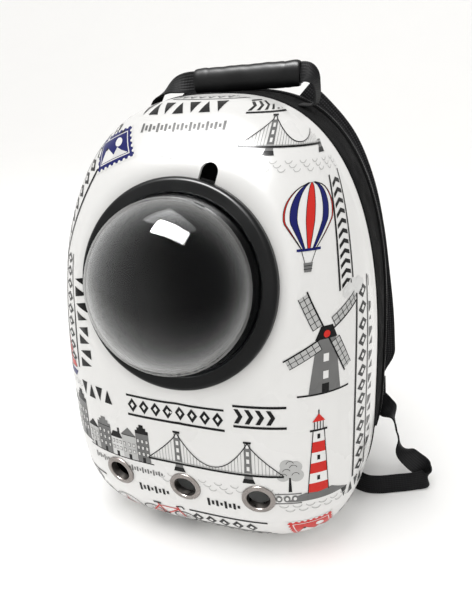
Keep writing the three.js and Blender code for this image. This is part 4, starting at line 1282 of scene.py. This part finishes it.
def build_back_panel():
    """A padded board with a seam near its edge and quilting in shallow chevrons."""
    angles, _ = outline_angles(PANEL_ANGLES)
    rows = []
    for back, inset in ((0, 1.2), (0, 0.2), (1, 0.0), (PANEL_EDGE, 0.0)):
        x, z = outline(angles, 1 + inset, inset)
        rows.append(np.stack([x, np.full_like(x, PANEL_FRONT + back), z], 1))
    x0, z0 = outline(angles, 1.2, 0.4)
    for share in np.concatenate([[0, 0.006, 0.014, 0.024], np.linspace(0.04, 1, 40) ** 1.1]):
        x, z = x0 - x0 * share, z0 + (PANEL_MIDDLE - z0) * share
        edge = math.sqrt(min(1, share / 0.03)) if share < 0.03 else 1
        seam = np.exp(-(((share - 0.055) / 0.008) ** 2))
        row = (z - PANEL_MIDDLE + 0.25 * np.abs(x)) % QUILT_PITCH - QUILT_PITCH / 2
        quilt = np.exp(-((row / 3.2) ** 2))
        quilt = quilt * (np.abs(share - 0.06) > 0.004) * smooth((share - 0.05) / 0.03)
        y = PANEL_FRONT + PANEL_EDGE + edge * PANEL_PUFF - 1.5 * seam - 1.1 * quilt
        rows.append(np.stack([x, y * np.ones_like(x), z], 1))
    obj = loft("back_panel_quilted", np.array(rows), PANEL_CLOTH, crease=60)
    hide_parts("back_panel")


def pad_outline(width, height):
    """A rounded rectangle of these half sizes, its points at most some 6 mm apart."""
    ring = []
    for sx, sz, start in ((1, 1, 0), (-1, 1, 90), (-1, -1, 180), (1, -1, 270)):
        x, z = sx * (width - PAD_CORNER), sz * (height - PAD_CORNER)
        for t in np.radians(np.linspace(start, start + 90, 15)):
            ring.append((x + PAD_CORNER * math.cos(t), z + PAD_CORNER * math.sin(t)))
    dense = []
    for (x0, z0), (x1, z1) in zip(ring, ring[1:] + ring[:1]):
        pieces = max(1, int(math.hypot(x1 - x0, z1 - z0) / 6))
        dense += [(x0 + (x1 - x0) * k / pieces, z0 + (z1 - z0) * k / pieces) for k in range(pieces)]
    return np.array(dense).T


def build_back_pad():
    """A mesh pad with two upright channels and several across."""
    width, height = (PAD_HIGH[0] - PAD_LOW[0]) / 2, (PAD_HIGH[2] - PAD_LOW[2]) / 2
    centre_z = (PAD_HIGH[2] + PAD_LOW[2]) / 2
    front, back = PAD_LOW[1], PAD_HIGH[1]
    edge_x, edge_z = pad_outline(width, height)
    rows = []
    for s in (0.9, 0.995):
        rows.append(np.stack([edge_x * s, np.full_like(edge_x, front), centre_z + edge_z * s], 1))
    for share in np.linspace(0, 1, 46):
        x, z = edge_x * (1 - share), edge_z * (1 - share)
        edge = np.minimum(width - np.abs(x), height - np.abs(z))
        rise = np.sqrt(np.clip(edge / 9, 0, 1))
        row = (z + 400) % CHANNEL_PITCH - CHANNEL_PITCH / 2
        channel = np.exp(-(((np.abs(x) - CHANNEL_X) / 3.5) ** 2)) + np.exp(-((row / 3.5) ** 2))
        y = front + 1.2 + rise * (back - front - 1.4) - np.clip(channel, 0, 1) * 2.6 * smooth(edge / 14)
        rows.append(np.stack([x, y, centre_z + z], 1))
    obj = loft("back_pad_mesh", np.array(rows), MESH_CLOTH)
    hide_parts("back_pad")


# Handle


def gusset_top(x):
    """How high the gusset's top lies at x."""
    share = abs(x) / (SHELL_HALF - GUSSET_INSET)
    reach = SHELL_HEIGHT - WIDEST - GUSSET_INSET
    return WIDEST + reach * (1 - share**TOP_SQUARE) ** (1 / TOP_SQUARE)


GRIP_SHIFT = 18.0
GRIP_LENGTH = 104.0
GRIP_HEIGHT = 24.0
GRIP_THICKNESS = 13.0
GRIP_RISE = 13.2
GRIP_TILT = math.radians(2.5)
HANDLE_FOOT_X = 79.0


def grip_line(x):
    """How high the grip's middle line lies at x."""
    return gusset_top(0) + GRIP_RISE + (x - GRIP_SHIFT) * math.tan(GRIP_TILT)


def foot(x):
    """How high the handle's webbing lies on the gusset at x."""
    return gusset_top(x) + GAP + WEBBING_THICKNESS / 2


def build_handle():
    x, y = HANDLE_FOOT_X, HANDLE_Y
    left, right = GRIP_SHIFT - GRIP_LENGTH / 2, GRIP_SHIFT + GRIP_LENGTH / 2
    flat, upright = (0, 1, 0), (0, 0.12, 1)
    route = [
        ((-x + 9, y, foot(x - 9)), flat),
        ((-x - 2, y, foot(x) + 3), flat),
        ((-x + 2, y, foot(x) + 12), flat),
        ((-x + 18, y, grip_line(-x) - 2), (0, 0.75, 0.6)),
        ((left - 8, y, grip_line(left - 8)), upright),
        ((left + 8, y, grip_line(left + 8)), upright),
        (((left + right) / 2, y, grip_line((left + right) / 2)), upright),
        ((right - 8, y, grip_line(right - 8)), upright),
        ((right + 6, y, grip_line(right + 6)), (0, 0.4, 0.9)),
        ((right + 14, y, grip_line(right) - 8), (0, 0.9, 0.45)),
        ((x + 5, y, foot(x) + 6), flat),
        ((x - 9, y, foot(x - 9)), flat),
    ]
    webbing = band("handle_webbing_ribbed", route, HANDLE_WEBBING_WIDTH, WEBBING_THICKNESS, WEBBING, 150)
    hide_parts("handle_webbing")
    build_grip(left)


def build_grip(left):
    """The stitched sleeve round the handle, from its left end."""
    end = np.array([0, 0.4, 1.2, 2.4, 4])
    places = np.concatenate([end, np.linspace(5, GRIP_LENGTH - 5, 60), GRIP_LENGTH - end[::-1]])
    rows = []
    for place in places:
        at = left + place
        near = min(place, GRIP_LENGTH - place)
        scale = 0.9 + 0.1 * math.sqrt(min(1, near / 3)) if near < 3 else 1.0
        cover = -0.035 * math.exp(-(((near - 14) / 1.1) ** 2)) if near < 25 else 0.0
        row = []
        for t in np.arange(40) * math.pi / 20:
            c, s = math.cos(t), math.sin(t)
            sag = 0.25 * math.sin(at * 0.21) + 0.2 * math.sin(at * 0.5 + 1)
            flap = -0.5 * math.exp(-(((t - 4.9) / 0.07) ** 2))
            dy = (GRIP_THICKNESS / 2 * (scale + cover) + flap) * math.copysign(abs(c) ** 0.85, c)
            dz = (GRIP_HEIGHT / 2 * (scale + cover) - 0.3) * math.copysign(abs(s) ** 0.8, s)
            row.append((at, HANDLE_Y + dy, grip_line(at) + dz + sag * abs(s) * 0.6))
        rows.append(row)
    grip = loft("handle_grip_sleeve", rows, GRIP_SKIN, crease=60)
    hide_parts("handle_grip")


# Straps

STRAP_ROUTE = [
    {"out": 0.3, "lift": 0.3, "height": 0.955},
    {"out": 0.39, "lift": 4.5, "height": 0.925},
    {"out": 0.55, "lift": 8.5, "height": 0.855},
    {"out": 0.665, "lift": 9.5, "height": 0.76},
    {"out": 0.74, "lift": 9.5, "height": 0.65},
    {"out": 0.79, "lift": 8.5, "height": 0.54},
    {"out": 0.835, "lift": 5.5, "height": 0.43},
    {"out": 0.86, "lift": 3, "height": 0.33},
    {"out": 0.875, "lift": 1.5, "height": 0.245},
]
LOOP_ROUTE = [
    {"out": -1, "back": 19, "height": 67, "across": (0.6, 0.1, 0.8)},
    {"out": 10, "back": 14, "height": 54, "across": (-0.3, 1, 0.05)},
    {"out": 17, "back": 3, "height": 41, "across": (-0.3, 1, 0.1)},
    {"out": 24, "back": -9, "height": 30, "across": (-0.3, 1, 0.2)},
    {"out": 37, "back": -19, "height": 25, "across": (-0.4, 0.8, 0.5)},
    {"out": 51, "back": -27, "height": 20, "across": (-0.3, 0.45, 0.9)},
    {"out": 54, "back": -33, "height": 15, "across": (0.1, 0.12, 1)},
    {"out": 43, "back": -39, "height": 12.6, "across": (0, 0, 1)},
    {"out": 23, "back": -49, "height": 12.4, "across": (0, 0, 1)},
    {"out": 5, "back": -57, "height": 12.4, "across": (0, 0, 1)},
    {"out": -8, "back": -59, "height": 12.8, "across": (0.1, 0, 1)},
]
STRAP_WIDTH = 58.0
STRAP_THICKNESS = 10.0
LOCK_WIDTH = 34.0
LOCK_HEIGHT = 20.0
LOCK_THICKNESS = 5.0
LOCK_BAR = 4.5
ANCHOR_HEIGHT = 13.0


def strap_centre(row, side):
    y = PANEL_BACK + GAP + STRAP_THICKNESS / 2 + row["lift"]
    return np.array([SHELL_HALF * side * row["out"], y, row["height"] * SHELL_HEIGHT])


def strap_route(side):
    route = []
    for at, row in enumerate(STRAP_ROUTE):
        before = strap_centre(STRAP_ROUTE[max(0, at - 1)], side)
        after = strap_centre(STRAP_ROUTE[min(len(STRAP_ROUTE) - 1, at + 1)], side)
        route.append((strap_centre(row, side), unit(np.cross(unit(after - before), [0.0, 1.0, 0.0]))))
    return route


def strap_taper(share):
    return 1 - 0.45 * float(smooth((share - 0.88) / 0.12))


def strap_section():
    """A padded strap's section: crowned faces and a narrow bound edge."""
    upper = []
    for u in np.cos(np.linspace(0.0, math.pi, 30)):
        edge = 1 - abs(u)
        if edge < 0.06:
            v = 0.42
        else:
            v = 0.42 + 0.58 * math.sin(min(1, (edge - 0.06) / 0.34) * math.pi / 2) ** 0.8
        if abs(edge - 0.11) < 0.025:
            v -= 0.12
        upper.append((float(u), v))
    return upper + [(u, -v) for u, v in reversed(upper)]


def left_angle(height):
    """The outline's angle on its left side at a height, found by halving."""
    low, high = math.pi / 2, math.pi * 1.5
    for _ in range(40):
        middle = (low + high) / 2
        if outline(middle)[1] > height:
            low = middle
        else:
            high = middle
    return low


def corner_station(side, y, off):
    """Where webbing lies on the gusset's lower corner: its point and its way across."""
    here = outline(left_angle(ANCHOR_HEIGHT + 5), GUSSET_INSET)
    above = outline(left_angle(ANCHOR_HEIGHT + 6), GUSSET_INSET)
    up = unit([-side * float(above[0] - here[0]), 0.0, float(above[1] - here[1])])
    out = np.array([side * up[2], 0.0, -side * up[0]])
    point = np.array([-side * float(here[0]), y, float(here[1])])
    return point + out * (WEBBING_THICKNESS / 2 + GAP + off), up


def build_strap(name, side):
    route = strap_route(side)
    strap = band(f"shoulder_strap_{name}_padded", route, STRAP_WIDTH, STRAP_THICKNESS, MESH_CLOTH, 90,
                 strap_taper, strap_section(), 60)
    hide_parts(f"shoulder_strap_{name}")
    points, sides, _ = stations(route, 20)
    along = unit(points[-1] - points[-2])
    across = unit(sides[-1])
    face = np.cross(across, along)

    def at(u, v, w):
        return points[-1] + across * u + along * v + face * w

    build_lock(name, at, (across, along, face))
    behind = math.copysign(WEBBING_THICKNESS / 2 + LOCK_THICKNESS / 2 + GAP, face[1])
    loop = [(at(0, LOCK_HEIGHT * share, behind), across * side) for share in (0.35, 0.9)]
    for row in LOOP_ROUTE:
        centre = (side * (SHELL_HALF + row["out"]), GUSSET_BACK + row["back"], row["height"])
        loop.append((centre, (side * row["across"][0], row["across"][1], row["across"][2])))
    loop.append(corner_station(side, GUSSET_FRONT + 12, 4.5))
    loop.append(corner_station(side, GUSSET_FRONT + 30, 0.4))
    webbing = band(f"strap_webbing_{name}_ribbed", loop, STRAP_WEBBING_WIDTH, WEBBING_THICKNESS,
                   WEBBING, 220)
    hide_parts(f"strap_webbing_{name}")


def build_lock(name, at, ways):
    """A ladder lock of three bars between two sides; at gives places from the strap's end."""
    middle = GAP + LOCK_HEIGHT / 2
    bar_size = (LOCK_WIDTH, LOCK_BAR, LOCK_THICKNESS)
    side_size = (LOCK_BAR, LOCK_HEIGHT - 0.4, LOCK_THICKNESS - 0.3)
    boxes = [(at(0, middle + v * (LOCK_HEIGHT - LOCK_BAR) / 2, 0), bar_size) for v in (-1, 0, 1)]
    boxes += [(at(u * (LOCK_WIDTH - LOCK_BAR) / 2, middle, 0), side_size) for u in (-1, 1)]
    bars = []
    for centre, size in boxes:
        bars.append(bezel_box(f"lock_bar_{name}", centre, ways, size, BUCKLE_PLASTIC))
    lock = joined(f"ladder_lock_{name}_moulded", bars)
    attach(lock, "carrier")
    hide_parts(f"ladder_lock_{name}")


# Camera, lights and floor


def camera_axes():
    """The camera's ways right, up and back."""
    az, el, roll = (math.radians(v) for v in (CAMERA_AZIMUTH, CAMERA_ELEVATION, CAMERA_ROLL))
    back = np.array([math.sin(az) * math.cos(el), -math.cos(az) * math.cos(el), math.sin(el)])
    right = np.array([math.cos(az), math.sin(az), 0.0])
    up = np.cross(back, right)
    turned_right = right * math.cos(roll) + up * math.sin(roll)
    return turned_right, up * math.cos(roll) - right * math.sin(roll), back


def aim(obj, place, target):
    obj.location = Vector(place)
    obj.rotation_euler = (Vector(target) - Vector(place)).to_track_quat("-Z", "Y").to_euler()


def area_light(name, place, target, width, height, power, glossy_only=False):
    data = bpy.data.lights.new(name, "AREA")
    data.shape = "RECTANGLE"
    data.size, data.size_y = width, height
    data.energy = power
    obj = bpy.data.objects.new(name, data)
    scene.collection.objects.link(obj)
    aim(obj, place, target)
    if glossy_only:
        obj.visible_diffuse = False


def build_camera():
    right, up, back = camera_axes()
    data = bpy.data.cameras.new("camera")
    data.sensor_fit = "VERTICAL"
    data.sensor_height = SENSOR_HEIGHT
    data.lens = CAMERA_FOCUS * SENSOR_HEIGHT / PHOTO_HEIGHT
    camera = bpy.data.objects.new("camera", data)
    scene.collection.objects.link(camera)
    matrix = Matrix.Identity(4)
    for column, way in enumerate((right, up, back)):
        for row in range(3):
            matrix[row][column] = way[row]
    matrix.translation = Vector(CAMERA_PLACE) * 0.001
    camera.matrix_world = matrix
    scene.camera = camera


def mirror_place(px, py, distance):
    """Where a light stands to be mirrored by the dome at a pixel of the photograph."""
    right, up, back = camera_axes()
    way = unit(right * (px - PHOTO_WIDTH / 2) - up * (py - PHOTO_HEIGHT / 2) - back * CAMERA_FOCUS)
    eye = np.array(CAMERA_PLACE)
    hit, normal = None, None
    for reach in np.arange(300.0, 900.0, 0.25):
        offset = eye + way * reach - CENTRE
        height = offset @ AXIS
        flat = offset - height * AXIS
        radius = np.linalg.norm(flat)
        across, high = radius / DOME_RADIUS, max(0.0, height) / DOME_HEIGHT
        if height > 0 and across**DOME_FULLNESS + high**DOME_FULLNESS <= 1:
            hit = eye + way * reach
            slope = DOME_FULLNESS - 1
            outwards = flat / max(radius, 1e-6) * across**slope / DOME_RADIUS
            normal = unit(outwards + AXIS * high**slope / DOME_HEIGHT)
            break
    bounce = way - 2 * (way @ normal) * normal
    return (hit + bounce * distance) * 0.001, hit * 0.001


FLOOR_COLORS = ((0.93, 0.925, 0.915), (0.95, 0.945, 0.935))
FLOOR_FRONT, FLOOR_BEND, FLOOR_TOP = -4.0, 2.0, 8.0
BEND_RADIUS = 2.5
FLOOR_HALF = 7.0


def build_floor():
    """A floor that curves up into a backdrop, in metres."""
    profile = [(FLOOR_FRONT, 0.0), (FLOOR_BEND, 0.0)]
    for t in np.linspace(0.1, math.pi / 2, 16):
        profile.append((FLOOR_BEND + BEND_RADIUS * math.sin(t), BEND_RADIUS - BEND_RADIUS * math.cos(t)))
    profile.append((FLOOR_BEND + BEND_RADIUS, FLOOR_TOP))
    points = [(side * FLOOR_HALF, y, z - 0.0005) for y, z in profile for side in (-1, 1)]
    faces = [(2 * k, 2 * k + 1, 2 * k + 3, 2 * k + 2) for k in range(len(profile) - 1)]
    mesh = bpy.data.meshes.new("floor")
    mesh.from_pydata(points, [], faces)
    for polygon in mesh.polygons:
        polygon.use_smooth = True
    floor = bpy.data.objects.new("floor", mesh)
    scene.collection.objects.link(floor)
    paint = Paint("floor_white", FLOOR_COLORS[0], 0.75)
    paint.vary("Base Color", paint.noise(3), *FLOOR_COLORS)
    floor.data.materials.append(paint.material)


def build_studio():
    world = bpy.data.worlds.new("studio")
    scene.world = world
    world.use_nodes = True
    background = world.node_tree.nodes["Background"]
    background.inputs["Color"].default_value = (1.0, 0.998, 0.99, 1)
    background.inputs["Strength"].default_value = 1.0
    build_floor()
    area_light("overhead", (-0.3, -0.4, 2.2), (0, 0, 0.2), 1.5, 1.2, 19)
    place, target = mirror_place(*WINDOW_GLINT, 1500)
    area_light("window_light", place, target, 0.9, 0.6, 160, glossy_only=True)
    scene.view_settings.view_transform = "Standard"


build_camera()
build_studio()
build_shell()
build_print()
build_window()
build_eyelets()
build_gusset()
build_piping()
build_zip()
build_back_panel()
build_back_pad()
build_handle()
build_strap("left", -1)
build_strap("right", 1)
